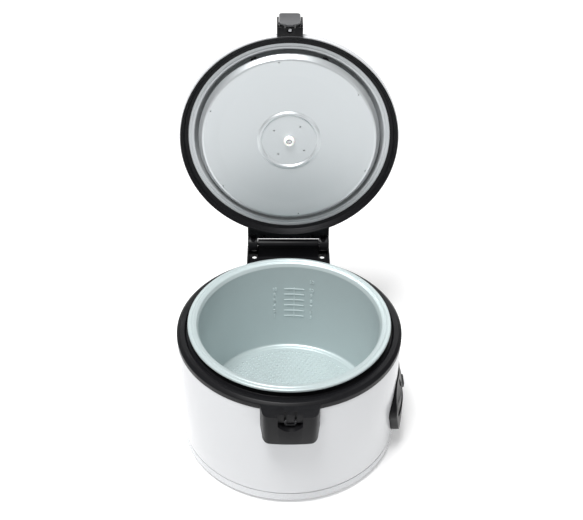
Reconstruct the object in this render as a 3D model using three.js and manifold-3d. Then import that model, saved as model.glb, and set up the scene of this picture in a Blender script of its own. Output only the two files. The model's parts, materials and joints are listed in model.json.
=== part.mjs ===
// Ten-cup rice cooker with a hinged lid, a lift-out pot and a push-lever thermostat switch.
// Millimetres, +Z up. The pot's axis is the Z axis, the feet stand on z = 0, the front faces -Y.
// The lid is built closed and its group is then turned open about the hinge.
import * as THREE from 'three';
import { mergeVertices } from 'three/addons/utils/BufferGeometryUtils.js';
import Module from 'manifold-3d';

const wasm = await Module();
wasm.setup();

// Driving dimensions
const seam = 0.3; // clearance between two pieces that touch
const roundSegments = 40;
const shellRadius = 129.6;
const shellThickness = 1.6;
const baseTop = 17;
const rimBottom = 150;
const rimTop = 159;
const rimRadius = 130;
const potWallRadius = 104.6;
const potFloor = 35;
const potTop = 168;
const potLipRadius = 117;
const hingeY = 146.1;
const hingeZ = 169;
const openAngle = THREE.MathUtils.degToRad(94.2);
const lidLipZ = 161.2;
const bandZ = 169.9; // face of the bright band inside the lid
const plateTopZ = 32.2; // face of the heating plate
const linerRadius = 108.2;
const linerTop = 163.7;
const linerFloor = 19.6;
const leverPivot = { x: 123, z: 70 };
const leverTip = 139;
const armPivot = { x: 60, z: 11.5 };
const ventY = 45;
const housingFrontY = -148;
const housingHalfWidth = 34.6;
const housingTop = 158;
const housingBottom = 118.3;

const material = (color, roughness, metalness = 0) =>
  new THREE.MeshStandardMaterial({ color, roughness, metalness });

const finishes = {
  paint: material(0xf1f3f5, 0.22),
  whitePlastic: material(0xf1f3f5, 0.25),
  black: material(0x1c1c1d, 0.5),
  grey: material(0x6f7072, 0.5),
  pot: material(0xb8cccc, 0.42, 0.2),
  aluminium: material(0xd2d5d7, 0.35, 0.9),
  castAluminium: material(0xa9acae, 0.55, 0.9),
  steel: material(0xc6c8ca, 0.3, 1),
  rubber: material(0x2b2b2c, 0.85),
  silicone: material(0xf0efec, 0.6),
  lens: material(0xc0392b, 0.2),
  amber: material(0xe39a2d, 0.2),
  ceramic: material(0xe6e1d5, 0.8),
  mica: material(0xa98f62, 0.7),
  ferrite: material(0x3a3a3d, 0.6),
};

const cooker = new THREE.Group();
const lid = new THREE.Group();

// ---- solids ----

function bare(geometry) {
  const copy = geometry.clone();
  copy.deleteAttribute('normal');
  copy.deleteAttribute('uv');
  return mergeVertices(copy, 1e-4);
}

function toSolid(geometry) {
  const merged = bare(geometry);
  const vertProperties = Float32Array.from(merged.attributes.position.array);
  const triVerts = Uint32Array.from(merged.index.array);
  return new wasm.Manifold(new wasm.Mesh({ numProp: 3, vertProperties, triVerts }));
}

function toGeometry(solid) {
  const { vertProperties, triVerts } = solid.getMesh();
  const geometry = new THREE.BufferGeometry();
  geometry.setAttribute('position', new THREE.BufferAttribute(Float32Array.from(vertProperties), 3));
  geometry.setIndex(new THREE.BufferAttribute(Uint32Array.from(triVerts), 1));
  geometry.computeVertexNormals();
  return geometry;
}

function join(first, ...others) {
  return toGeometry(others.reduce((whole, next) => whole.add(toSolid(next)), toSolid(first)));
}

function cut(first, ...tools) {
  return toGeometry(tools.reduce((whole, next) => whole.subtract(toSolid(next)), toSolid(first)));
}

function common(first, second) {
  return toGeometry(toSolid(first).intersect(toSolid(second)));
}

// A turned solid about the Z axis. The profile is a loop of [radius, z], or starts and ends at radius 0.
function turned(profile, segments = roundSegments) {
  const points = profile.map(([r, z]) => new THREE.Vector2(r, z));
  const onAxis = profile[0][0] === 0 && profile.at(-1)[0] === 0;
  if (!onAxis) points.push(points[0].clone());
  if (THREE.ShapeUtils.area(points) < 0) points.reverse();
  const geometry = new THREE.LatheGeometry(points, segments);
  geometry.rotateX(Math.PI / 2);
  return bare(geometry);
}

function box(x0, x1, y0, y1, z0, z1) {
  const geometry = new THREE.BoxGeometry(x1 - x0, y1 - y0, z1 - z0);
  return geometry.translate((x0 + x1) / 2, (y0 + y1) / 2, (z0 + z1) / 2);
}

function post(radius, x, y, z0, z1, segments = 16) {
  const geometry = new THREE.CylinderGeometry(radius, radius, z1 - z0, segments);
  return geometry.rotateX(Math.PI / 2).translate(x, y, (z0 + z1) / 2);
}

// A cylinder along X, centred on the line at y, z.
function rod(radius, x0, x1, y, z, segments = 20) {
  const geometry = new THREE.CylinderGeometry(radius, radius, x1 - x0, segments);
  return geometry.rotateZ(Math.PI / 2).translate((x0 + x1) / 2, y, z);
}

// An outline in the XZ plane pushed along Y from y0 to y1.
function pushedAlongY(shape, y0, y1, curveSegments = 6) {
  const geometry = new THREE.ExtrudeGeometry(shape, { depth: y1 - y0, bevelEnabled: false, curveSegments });
  return geometry.rotateX(Math.PI / 2).translate(0, y1, 0);
}

// An outline in the YZ plane pushed along X from x0 to x1.
function pushedAlongX(shape, x0, x1, curveSegments = 6) {
  const geometry = new THREE.ExtrudeGeometry(shape, { depth: x1 - x0, bevelEnabled: false, curveSegments });
  return geometry.rotateX(Math.PI / 2).rotateZ(Math.PI / 2).translate(x0, 0, 0);
}

function pushedAlongZ(shape, z0, z1, curveSegments = 6) {
  const geometry = new THREE.ExtrudeGeometry(shape, { depth: z1 - z0, bevelEnabled: false, curveSegments });
  return geometry.translate(0, 0, z0);
}

// A rectangle with its own radius on the lower and on the upper corners.
function roundedShape(u0, u1, v0, v1, lower, upper) {
  const shape = new THREE.Shape();
  shape.moveTo(u0 + lower, v0);
  shape.lineTo(u1 - lower, v0);
  shape.absarc(u1 - lower, v0 + lower, lower, -Math.PI / 2, 0);
  shape.lineTo(u1, v1 - upper);
  shape.absarc(u1 - upper, v1 - upper, upper, 0, Math.PI / 2);
  shape.lineTo(u0 + upper, v1);
  shape.absarc(u0 + upper, v1 - upper, upper, Math.PI / 2, Math.PI);
  shape.lineTo(u0, v0 + lower);
  shape.absarc(u0 + lower, v0 + lower, lower, Math.PI, 1.5 * Math.PI);
  return shape;
}

function polygon(points) {
  return new THREE.Shape(points.map(([u, v]) => new THREE.Vector2(u, v)));
}

function wire(points, radius, sides, steps) {
  const section = new THREE.Shape();
  section.absarc(0, 0, radius, 0, 2 * Math.PI);
  const extrudePath = new THREE.CatmullRomCurve3(points);
  return new THREE.ExtrudeGeometry(section, { extrudePath, steps, curveSegments: sides });
}

// A helix of wire about an axis through the centre, along the unit vector `along`.
function coil(centre, along, coilRadius, wireRadius, length, turns) {
  const perTurn = 8;
  const turnToAxis = new THREE.Quaternion().setFromUnitVectors(new THREE.Vector3(0, 0, 1), along);
  const points = [];
  for (let i = 0; i <= turns * perTurn; i++) {
    const angle = (i / perTurn) * 2 * Math.PI;
    const height = (i / (turns * perTurn) - 0.5) * length;
    const point = new THREE.Vector3(coilRadius * Math.cos(angle), coilRadius * Math.sin(angle), height);
    points.push(point.applyQuaternion(turnToAxis).add(centre));
  }
  return wire(points, wireRadius, 3, turns * perTurn);
}

function place(group, name, geometry, finish) {
  const mesh = new THREE.Mesh(geometry, finish);
  mesh.name = name;
  group.add(mesh);
}

const inside = (radius, z0, z1) => turned([[0, z0], [radius, z0], [radius, z1], [0, z1]]);

// ---- body ----

function addShellAndBase() {
  const innerRadius = shellRadius - shellThickness;
  const tube = turned([
    [innerRadius, baseTop + seam],
    [shellRadius, baseTop + seam],
    [shellRadius, rimBottom - seam],
    [innerRadius, rimBottom - seam],
  ]);
  const leverWindow = box(100, 140, -14, 14, 50, 84);
  const inletWindow = box(-18, 18, 100, 140, 26, 50);
  place(cooker, 'outer_shell', cut(tube, leverWindow, inletWindow), finishes.paint);

  const under = 2;
  const floor = 4.4;
  const corner = 7;
  const base = turned([
    [0, 0],
    [15, 0],
    [18, under],
    [shellRadius - corner, under],
    [shellRadius - corner * 0.29, under + corner * 0.29],
    [shellRadius, under + corner],
    [shellRadius, baseTop],
    [innerRadius - 0.6, baseTop],
    [innerRadius - 0.6, baseTop + 6],
    [innerRadius - 2.4, baseTop + 6],
    [innerRadius - 2.4, under + corner],
    [shellRadius - corner - 2, floor],
    [0, floor],
  ]);
  const footCircle = 100;
  const screwCircle = 112;
  const screwHoles = [];
  for (let i = 0; i < 3; i++) {
    const angle = Math.PI / 6 + (i * 2 * Math.PI) / 3;
    const x = screwCircle * Math.cos(angle);
    const y = screwCircle * Math.sin(angle);
    screwHoles.push(post(2.6, x, y, 0, 6, 10));
    const head = post(3.8, x, y, 0.6, under - seam, 10);
    const shank = post(2, x, y, under - seam - 0.5, 12, 10);
    place(cooker, `base_screw_${i + 1}`, join(head, shank), finishes.steel);
  }
  place(cooker, 'base_pan', cut(base, ...screwHoles), finishes.whitePlastic);
  for (let i = 0; i < 4; i++) {
    const angle = Math.PI / 4 + (i * Math.PI) / 2;
    const foot = post(9, footCircle * Math.cos(angle), footCircle * Math.sin(angle), 0, under - seam);
    place(cooker, `rubber_foot_${i + 1}`, foot, finishes.rubber);
  }
}

function addRim() {
  const skirtRadius = shellRadius - shellThickness - 0.6;
  const rim = turned([
    [rimRadius, rimBottom],
    [rimRadius, rimTop - 2.8],
    [rimRadius - 3.6, rimTop],
    [120.6, rimTop],
    [119, rimTop - 2.8],
    [114.6, rimTop - 2.8],
    [114.6, linerTop - 1 - seam],
    [111.6, linerTop - 1 - seam],
    [111.6, 146],
    [113.6, 146],
    [113.6, 153.6],
    [skirtRadius - 2, 153.6],
    [skirtRadius - 2, 144],
    [skirtRadius, 144],
    [skirtRadius, rimBottom],
  ]);
  place(cooker, 'top_rim', rim, finishes.black);
}

// The housing below the lid's latch: a finger notch, two slots for the latch's prongs and a keeper.
function addLatchHousing() {
  const notchHalf = 13.3;
  const notchBack = -143.5;
  const pocketTop = 147;
  const frontHalf = 23;
  const cornerY = housingFrontY + 1.3;
  const plan = new THREE.Shape();
  plan.moveTo(-housingHalfWidth, -110);
  plan.lineTo(-housingHalfWidth, -120);
  plan.lineTo(-frontHalf - 7, -139.5);
  plan.quadraticCurveTo(-frontHalf - 6, cornerY + 1.2, -frontHalf, cornerY);
  plan.quadraticCurveTo(0, housingFrontY - 1.3, frontHalf, cornerY);
  plan.quadraticCurveTo(frontHalf + 6, cornerY + 1.2, frontHalf + 7, -139.5);
  plan.lineTo(housingHalfWidth, -120);
  plan.lineTo(housingHalfWidth, -110);
  const front = roundedShape(-housingHalfWidth, housingHalfWidth, housingBottom, housingTop, 11, 0.5);
  const block = common(
    pushedAlongZ(plan, housingBottom, housingTop),
    pushedAlongY(front, -150, -105),
  );
  const arcedOutline = (top) => {
    const outline = new THREE.Shape();
    outline.moveTo(-notchHalf, top);
    outline.lineTo(-notchHalf, 144.6);
    outline.quadraticCurveTo(0, 130.2, notchHalf, 144.6);
    outline.lineTo(notchHalf, top);
    return outline;
  };
  const tools = [
    inside(rimRadius + seam, 100, 170),
    pushedAlongY(arcedOutline(165), -155, notchBack),
    pushedAlongY(arcedOutline(pocketTop), -150, -136),
    box(-28, -16.5, -141, -120, 121.5, 155),
    box(16.5, 28, -141, -120, 121.5, 155),
  ];
  for (const side of [-1, 1]) tools.push(box(side * 5.5 - 1.3, side * 5.5 + 1.3, -155, -138.6, 146, 160));
  place(cooker, 'latch_housing', cut(block, ...tools), finishes.black);

  const loop = roundedShape(-6.6, 6.6, 139.2, 146.4, 3, 0.4);
  const hole = roundedShape(-4.5, 4.5, 141.2, 145, 1.2, 0.3);
  const keeper = cut(pushedAlongY(loop, -140.4, -136.3), pushedAlongY(hole, -141, -136));
  place(cooker, 'latch_keeper', keeper, finishes.grey);
}

function addHingeBase() {
  const floorZ = 147;
  const half = 52;
  const knuckleHalf = 38.4;
  const knuckleRadius = 5.5;
  const pieces = [
    box(-half, half, 112, 156, floorZ + 2.5, floorZ + 4),
    box(-knuckleHalf, knuckleHalf, 141.4, 150.8, floorZ, hingeZ),
    rod(knuckleRadius, -knuckleHalf, knuckleHalf, hingeY, hingeZ, 24),
    box(-half, -half + 1.8, 118, 154, floorZ, 158.2),
    box(half - 1.8, half, 118, 154, floorZ, 158.2),
    box(-half, half, 154, 156, floorZ, 157.5),
  ];
  const tools = [
    inside(rimRadius + seam, 130, 170),
    rod(2.9, -half, half, hingeY, hingeZ),
    rod(4.4, -30, 30, hingeY, hingeZ),
    post(3, -43, 141, 140, 160),
    post(3, 43, 141, 140, 160),
  ];
  place(cooker, 'hinge_base', cut(join(...pieces), ...tools), finishes.black);
  place(cooker, 'hinge_pin', rod(2.5, -50.4, 50.4, hingeY, hingeZ, 16), finishes.steel);
  for (const [side, name] of [[-1, 'left'], [1, 'right']]) {
    const tube = rod(4.1, side * 16 - 11, side * 16 + 11, hingeY, hingeZ, 16);
    const bore = rod(2.9, side * 16 - 12, side * 16 + 12, hingeY, hingeZ, 16);
    place(cooker, `hinge_spring_${name}`, cut(tube, bore), finishes.steel);
  }
}

function addLinerAndHeaters() {
  const liner = turned([
    [20, linerFloor],
    [linerRadius + 1, linerFloor],
    [linerRadius + 1, linerTop - 1],
    [114.4, linerTop - 1],
    [114.4, linerTop],
    [linerRadius, linerTop],
    [linerRadius, linerFloor + 1],
    [20, linerFloor + 1],
  ]);
  const elementRadius = 62;
  const legAngle = THREE.MathUtils.degToRad(18);
  const legs = [-1, 1].map((side) => ({
    x: elementRadius * Math.cos(Math.PI + side * legAngle),
    y: elementRadius * Math.sin(Math.PI + side * legAngle),
  }));
  const legHoles = legs.map(({ x, y }) => post(8, x, y, 15, 25, 12));
  place(cooker, 'inner_liner', cut(liner, ...legHoles), finishes.aluminium);

  const underside = linerFloor + 1 + seam;
  const plate = turned([
    [17, underside],
    [56.6, underside],
    [56.6, 28.4],
    [67.4, 28.4],
    [67.4, underside],
    [90, underside],
    [95, 26],
    [95, plateTopZ - 1.2],
    [93.8, plateTopZ],
    [17, plateTopZ],
  ]);
  place(cooker, 'heating_plate', plate, finishes.castAluminium);

  const elementZ = 24.6;
  const route = legs.slice(1).map(({ x, y }) => new THREE.Vector3(x, y, 12));
  route.push(new THREE.Vector3(legs[1].x, legs[1].y, elementZ - 5));
  const arcSteps = 22;
  const startAngle = -Math.PI + legAngle + 0.09;
  const endAngle = Math.PI - legAngle - 0.09;
  for (let i = 0; i <= arcSteps; i++) {
    const angle = startAngle + ((endAngle - startAngle) * i) / arcSteps;
    route.push(new THREE.Vector3(elementRadius * Math.cos(angle), elementRadius * Math.sin(angle), elementZ));
  }
  route.push(new THREE.Vector3(legs[0].x, legs[0].y, elementZ - 5));
  route.push(new THREE.Vector3(legs[0].x, legs[0].y, 12));
  place(cooker, 'heater_element', wire(route, 3, 4, 40), finishes.steel);

  const band = turned([
    [linerRadius + 1 + seam, 70],
    [linerRadius + 2.6, 70],
    [linerRadius + 2.6, 98],
    [linerRadius + 1 + seam, 98],
  ]);
  place(cooker, 'keep_warm_band', band, finishes.mica);
}

function addThermostat() {
  const sleeve = turned([[10.4, 18.5], [15.8, 18.5], [15.8, 30.8], [14.8, 30.8], [14.8, 19.4], [10.4, 19.4]], 24);
  place(cooker, 'thermostat_sleeve', sleeve, finishes.steel);
  const cup = turned([[0, plateTopZ], [13.2, plateTopZ], [14.4, 31], [14.4, 21], [13.4, 21], [13.4, 31], [0, 31]], 24);
  place(cooker, 'thermostat_cup', cup, finishes.aluminium);
  place(cooker, 'thermostat_ferrite', post(12.8, 0, 0, 27.9, 30.7, 24), finishes.ferrite);
  const springCentre = new THREE.Vector3(0, 0, 23.5);
  const spring = coil(springCentre, new THREE.Vector3(0, 0, 1), 12, 0.6, 6, 3);
  place(cooker, 'thermostat_spring', spring, finishes.steel);
  const plunger = join(post(9.4, 0, 0, 14.8, 20, 24), post(2.2, 0, 0, armPivot.z + 1.2, 15, 12));
  place(cooker, 'magnet_plunger', plunger, finishes.ferrite);
}

// The push lever in the panel, and the long arm that lifts the magnet under the pot.
function addSwitchGear() {
  const half = 0.8;
  const armHalfWidth = 5;
  const profile = polygon([
    [-5, armPivot.z - half],
    [113, armPivot.z - half],
    [113, 62],
    [111.4, 62],
    [111.4, armPivot.z + half],
    [-5, armPivot.z + half],
  ]);
  const strip = pushedAlongY(profile, -armHalfWidth, armHalfWidth);
  const hub = new THREE.CylinderGeometry(2.6, 2.6, 2 * armHalfWidth, 16);
  hub.translate(armPivot.x, 0, armPivot.z);
  const bore = new THREE.CylinderGeometry(1.7, 1.7, 30, 12).translate(armPivot.x, 0, armPivot.z);
  place(cooker, 'lever_arm', cut(join(strip, hub), bore), finishes.steel);
  const pin = new THREE.CylinderGeometry(1.4, 1.4, 15.6, 12).translate(armPivot.x, 0, armPivot.z);
  place(cooker, 'arm_pivot_pin', pin, finishes.steel);
  const cheeks = [-1, 1].map((side) => {
    const centre = side * 6.4;
    return box(armPivot.x - 5, armPivot.x + 5, centre - 0.8, centre + 0.8, 4.7, armPivot.z + 4.5);
  });
  const foot = box(armPivot.x + 4, armPivot.x + 9, -7.2, 7.2, 4.7, 5.7);
  const bracket = cut(join(...cheeks, foot), bore);
  place(cooker, 'arm_bracket', bracket, finishes.steel);

  const knob = roundedShape(leverPivot.x + 4, leverTip, leverPivot.z - 4.5, leverPivot.z + 4.5, 1.6, 1.6);
  const neck = box(leverPivot.x, leverPivot.x + 6, -5, 5, leverPivot.z - 2, leverPivot.z + 2);
  const leverHub = new THREE.CylinderGeometry(3, 3, 14, 16).translate(leverPivot.x, 0, leverPivot.z);
  const lever = join(pushedAlongY(knob, -7.5, 7.5, 4), neck, leverHub);
  const leverBore = new THREE.CylinderGeometry(1.5, 1.5, 40, 12).translate(leverPivot.x, 0, leverPivot.z);
  place(cooker, 'cook_lever', cut(lever, leverBore), finishes.black);
  const leverPin = new THREE.CylinderGeometry(1.2, 1.2, 21, 12).translate(leverPivot.x, 0, leverPivot.z);
  place(cooker, 'lever_pin', leverPin, finishes.steel);

  place(cooker, 'micro_switch', box(112.5, 122.5, -25, -12.5, 28, 46), finishes.ceramic);
  place(cooker, 'terminal_block', box(-26, 26, 111.5, 118, 52, 64), finishes.ceramic);
  place(cooker, 'thermal_fuse', rod(2.2, -16, 16, 114, 104, 10), finishes.ceramic);
}

function addPowerInlet() {
  const flange = box(-22, 22, shellRadius + seam, shellRadius + 3, 22, 54);
  const neck = box(-17.4, 17.4, 106 + 6, shellRadius + 1, 26.6, 49.4);
  const socket = box(-13.5, 13.5, 114.5, 140, 30, 46);
  const pins = [-7, 0, 7].map((x, i) => box(x - 1, x + 1, 114, 126, i === 1 ? 40 : 34, i === 1 ? 44 : 38));
  place(cooker, 'power_inlet', join(cut(join(flange, neck), socket), ...pins), finishes.black);
}

function addControlPanel() {
  const inner = shellRadius + 0.6;
  const barrel = turned([
    [inner, 14],
    [137.9, 14],
    [138.8, 32],
    [138.7, 60],
    [138, 72],
    [134.9, 82],
    [133, 90],
    [131.8, 98],
    [131, 106],
    [130.6, 111],
    [inner, 111],
  ]);
  const outline = new THREE.Shape();
  outline.moveTo(-30, 19);
  outline.lineTo(30, 19);
  outline.quadraticCurveTo(42, 20, 46, 34);
  outline.quadraticCurveTo(53, 50, 57.5, 62);
  outline.quadraticCurveTo(60, 70, 56, 80);
  outline.quadraticCurveTo(50, 92, 38, 101);
  outline.quadraticCurveTo(36, 103, 30, 103);
  outline.lineTo(-30, 103);
  outline.quadraticCurveTo(-36, 103, -38, 101);
  outline.quadraticCurveTo(-50, 92, -56, 80);
  outline.quadraticCurveTo(-60, 70, -57.5, 62);
  outline.quadraticCurveTo(-53, 50, -46, 34);
  outline.quadraticCurveTo(-42, 20, -30, 19);
  const lensHoles = [-1, 1].map((side) => {
    const hole = new THREE.CylinderGeometry(4.3, 4.3, 30, 16).rotateZ(Math.PI / 2);
    return hole.translate(134, side * 20, 86);
  });
  const window = box(120, 150, -9, 9, 57, 77);
  const bossBridge = [-1, 1].map((side) => {
    return box(leverPivot.x - 3, 131.5, side > 0 ? 9.6 : -11.8, side > 0 ? 11.8 : -9.6, 66, 74);
  });
  const pinHole = new THREE.CylinderGeometry(1.5, 1.5, 40, 12).translate(leverPivot.x, 0, leverPivot.z);
  const sector = common(barrel, pushedAlongX(outline, 100, 145, 8));
  const panel = cut(join(cut(sector, window, ...lensHoles), ...bossBridge), pinHole);
  place(cooker, 'control_panel', panel, finishes.black);
  for (const [side, name, finish] of [[-1, 'cook', finishes.lens], [1, 'warm', finishes.amber]]) {
    const lens = new THREE.CylinderGeometry(4, 4, 2.6, 16).rotateZ(Math.PI / 2).translate(130.3, side * 20, 86);
    place(cooker, `${name}_lamp_lens`, lens, finish);
    const lamp = new THREE.CylinderGeometry(2.4, 2.4, 12, 12).translate(118, side * 20, 86);
    place(cooker, `${name}_lamp`, lamp, finishes.ceramic);
  }
}

function addPot() {
  const underside = plateTopZ + seam;
  const pot = turned([
    [0, potFloor],
    [97.5, potFloor],
    [102.6, potFloor + 2.2],
    [potWallRadius, potFloor + 7],
    [potWallRadius, potTop - 7.5],
    [106.3, potTop - 2.4],
    [110.6, potTop],
    [potLipRadius - 1, potTop],
    [potLipRadius, potTop - 1.2],
    [potLipRadius, potTop - 2.8],
    [potLipRadius - 1, linerTop + seam],
    [potWallRadius + 2, linerTop + seam],
    [potWallRadius + 2, potFloor + 7.6],
    [104, potFloor + 0.6],
    [98, underside],
    [0, underside],
  ]);
  place(cooker, 'inner_pot', pot, finishes.pot);
}

// ---- lid, built closed ----

function addLidShell() {
  const shell = turned([
    [0, 206],
    [58, 202],
    [98, 193.6],
    [118, 186],
    [126.8, 179.6],
    [shellRadius, 172.4],
    [shellRadius, lidLipZ + 2.4],
    [127.9, lidLipZ + 2.4],
    [127.9, 172],
    [125.2, 178.6],
    [117.2, 184.2],
    [97.6, 191.6],
    [57.8, 200],
    [0, 204],
  ]);
  place(lid, 'lid_shell', cut(shell, post(14, 0, ventY, 190, 210, 20)), finishes.whitePlastic);

  const ring = turned([
    [127.6, lidLipZ],
    [128.8, lidLipZ],
    [shellRadius, lidLipZ + 0.8],
    [shellRadius, lidLipZ + 2.1],
    [127.4, lidLipZ + 2.1],
    [127.4, 172.6],
    [125.4, 172.6],
    [125.4, bandZ - seam],
    [119.3, bandZ - seam],
    [119.3, bandZ - 1.3],
    [124.4, 167],
  ]);
  place(lid, 'lid_ring', ring, finishes.black);
}

function addLidInner() {
  const pan = turned([
    [3.3, 181.2],
    [108, 181.2],
    [113.6, bandZ + 1],
    [124.9, bandZ + 1],
    [124.9, bandZ],
    [112.6, bandZ],
    [107, 180.2],
    [3.3, 180.2],
  ]);
  place(lid, 'lid_inner_pan', cut(pan, post(9, 0, ventY, 170, 190, 20)), finishes.aluminium);

  const plate = turned([
    [5.6, 166],
    [36.8, 166],
    [82.5, 164.6],
    [101.4, 163.2],
    [103.6, 165.4],
    [106.1, 168.4],
    [107.6, 168.4],
    [107, 167.3],
    [105, 164.9],
    [103.2, 162.7],
    [101.6, 162],
    [82.5, 163.4],
    [36.4, 164.8],
    [34.5, 162.6],
    [32.6, 164.8],
    [5.6, 164.8],
  ]);
  place(lid, 'inner_plate', plate, finishes.aluminium);

  const grommet = turned(
    [[3.4, 159.6], [5.6, 159.6], [6.6, 161.6], [6.6, 164.5], [5.3, 164.5], [5.3, 166.3], [7, 166.3], [6.2, 169], [3.4, 169]],
    24,
  );
  place(lid, 'plate_grommet', grommet, finishes.silicone);
  const stud = turned(
    [[0, 160.8], [2.4, 160.8], [3, 161.6], [3, 178.5], [8, 178.5], [8, 179.9], [3, 179.9], [3, 183], [0, 183]],
    16,
  );
  place(lid, 'plate_stud', stud, finishes.steel);

  for (const [side, name] of [[-1, 'left'], [1, 'right']]) {
    const clip = box(-3.4, 3.4, -106.2, -102.4, 172, 179.7);
    clip.rotateZ(THREE.MathUtils.degToRad(side * 23));
    place(lid, `plate_clip_${name}`, clip, finishes.black);
  }
}

function addSteamVent() {
  const tube = turned(
    [[7, 181.5], [12.4, 181.5], [12.4, 183], [8.6, 183], [8.6, 206.4], [7, 206.4]],
    20,
  );
  tube.translate(0, ventY, 0);
  place(lid, 'steam_vent_tube', tube, finishes.black);
  const cap = turned(
    [
      [0, 211.6],
      [15.6, 211.6],
      [18, 209.6],
      [18, 205.4],
      [16.6, 205.4],
      [16.6, 208.4],
      [10.6, 208.4],
      [10.6, 198],
      [9.2, 198],
      [9.2, 209.6],
      [0, 209.6],
    ],
    20,
  );
  const slots = [-6, 0, 6].map((x) => box(x - 1.1, x + 1.1, -6, 6, 205, 215));
  const slotted = cut(cap, ...slots);
  slotted.translate(0, ventY, 0);
  place(lid, 'steam_vent_cap', slotted, finishes.black);
}

function addLidHinge() {
  const half = 51;
  const earInner = 38.9;
  const face = bandZ - 0.6;
  const top = 178.4;
  const ears = [-1, 1].map((side) => {
    const x0 = side > 0 ? earInner : -half;
    const knuckle = rod(9.8, x0, x0 + half - earInner, hingeY, hingeZ, 28);
    return join(knuckle, box(x0, x0 + half - earInner, 118, hingeY, face, top));
  });
  const plate = box(-half, half, 112, 139.2, face, top);
  const tools = [inside(rimRadius + 0.2, 150, 190), rod(2.9, -60, 60, hingeY, hingeZ)];
  for (const side of [-1, 1]) {
    tools.push(post(3.4, side * 43.9, 136.6, 165, 174.2));
    tools.push(post(2.4, side * 30.5, 135.4, 165, 172.4, 12));
  }
  place(lid, 'hinge_lid_bracket', cut(join(plate, ...ears), ...tools), finishes.black);
  for (const [side, name] of [[-1, 'left'], [1, 'right']]) {
    place(lid, `hinge_screw_${name}`, post(3, side * 43.9, 136.6, 171.6, 173.9), finishes.steel);
  }
}

const latchPin = { y: -138.2, z: 180 };

function addLatch() {
  const half = 14.5;
  const leverHalf = 12;
  const clearOfLid = inside(rimRadius + 0.2, 150, 215);
  const cheekSide = polygon([
    [-120, lidLipZ],
    [-143.4, lidLipZ + 2.5],
    [-143.4, 187],
    [-139.5, 192],
    [-120, 192],
  ]);
  const cheeks = [-half, leverHalf + 0.4].map((x0) => pushedAlongX(cheekSide, x0, x0 + half - leverHalf - 0.4));
  const floor = box(-half, half, -140, -120, lidLipZ, lidLipZ + 2.4);
  const back = box(-half, half, -133.4, -120, lidLipZ, 188);
  const pinBore = rod(1.7, -20, 20, latchPin.y, latchPin.z, 14);
  const screwBore = post(3.2, 0, -136.6, 160, 165, 14);
  const springSeat = new THREE.CylinderGeometry(2.6, 2.6, 3, 14).translate(0, -133.9, 186);
  const bracket = cut(join(...cheeks, floor, back), clearOfLid, pinBore, screwBore, springSeat);
  place(lid, 'latch_bracket', bracket, finishes.black);

  const front = new THREE.Shape();
  front.moveTo(-leverHalf, 166.6);
  front.quadraticCurveTo(0, 155.6, leverHalf, 166.6);
  front.lineTo(leverHalf, 195.5);
  front.absarc(leverHalf - 4, 195.5, 4, 0, Math.PI / 2);
  front.lineTo(-leverHalf + 4, 199.5);
  front.absarc(-leverHalf + 4, 195.5, 4, Math.PI / 2, Math.PI);
  const face = pushedAlongY(front, -143.5, -141, 8);
  const hub = rod(3.4, -leverHalf + 0.3, leverHalf - 0.3, latchPin.y, latchPin.z, 18);
  const web = box(-leverHalf + 0.3, leverHalf - 0.3, -141.5, latchPin.y, latchPin.z - 3.2, latchPin.z + 3.2);
  const prongs = [-1, 1].map((side) => box(side * 5.5 - 0.8, side * 5.5 + 0.8, -143.3, -141.2, 150.5, 164));
  const barbs = [-1, 1].map((side) => box(side * 5.5 - 0.8, side * 5.5 + 0.8, -143.3, -140.2, 150.5, 152));
  const lever = cut(join(face, hub, web, ...prongs, ...barbs), pinBore);
  place(lid, 'latch_lever', lever, finishes.grey);

  place(lid, 'latch_pin', rod(1.4, -half + 0.2, half - 0.2, latchPin.y, latchPin.z, 12), finishes.steel);
  place(lid, 'latch_screw', post(2.4, 0, -136.6, 161.8, 167, 14), finishes.steel);
  const spring = coil(new THREE.Vector3(0, -137.4, 190), new THREE.Vector3(0, 1, 0), 1.9, 0.4, 5.6, 4);
  place(lid, 'latch_spring', spring, finishes.steel);
}

addShellAndBase();
addRim();
addLatchHousing();
addHingeBase();
addLinerAndHeaters();
addThermostat();
addSwitchGear();
addPowerInlet();
addControlPanel();
addPot();
addLidShell();
addLidInner();
addSteamVent();
addLidHinge();
addLatch();

// Turn the lid about the hinge: its origin moves to the hinge, and its pieces move back by as much.
for (const piece of lid.children) piece.position.set(0, -hingeY, -hingeZ);
lid.position.set(0, hingeY, hingeZ);
lid.rotation.x = -openAngle;
cooker.add(lid);

export default cooker;
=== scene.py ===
import json
import math

import bmesh
import bpy
from mathutils import Matrix, Vector


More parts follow.
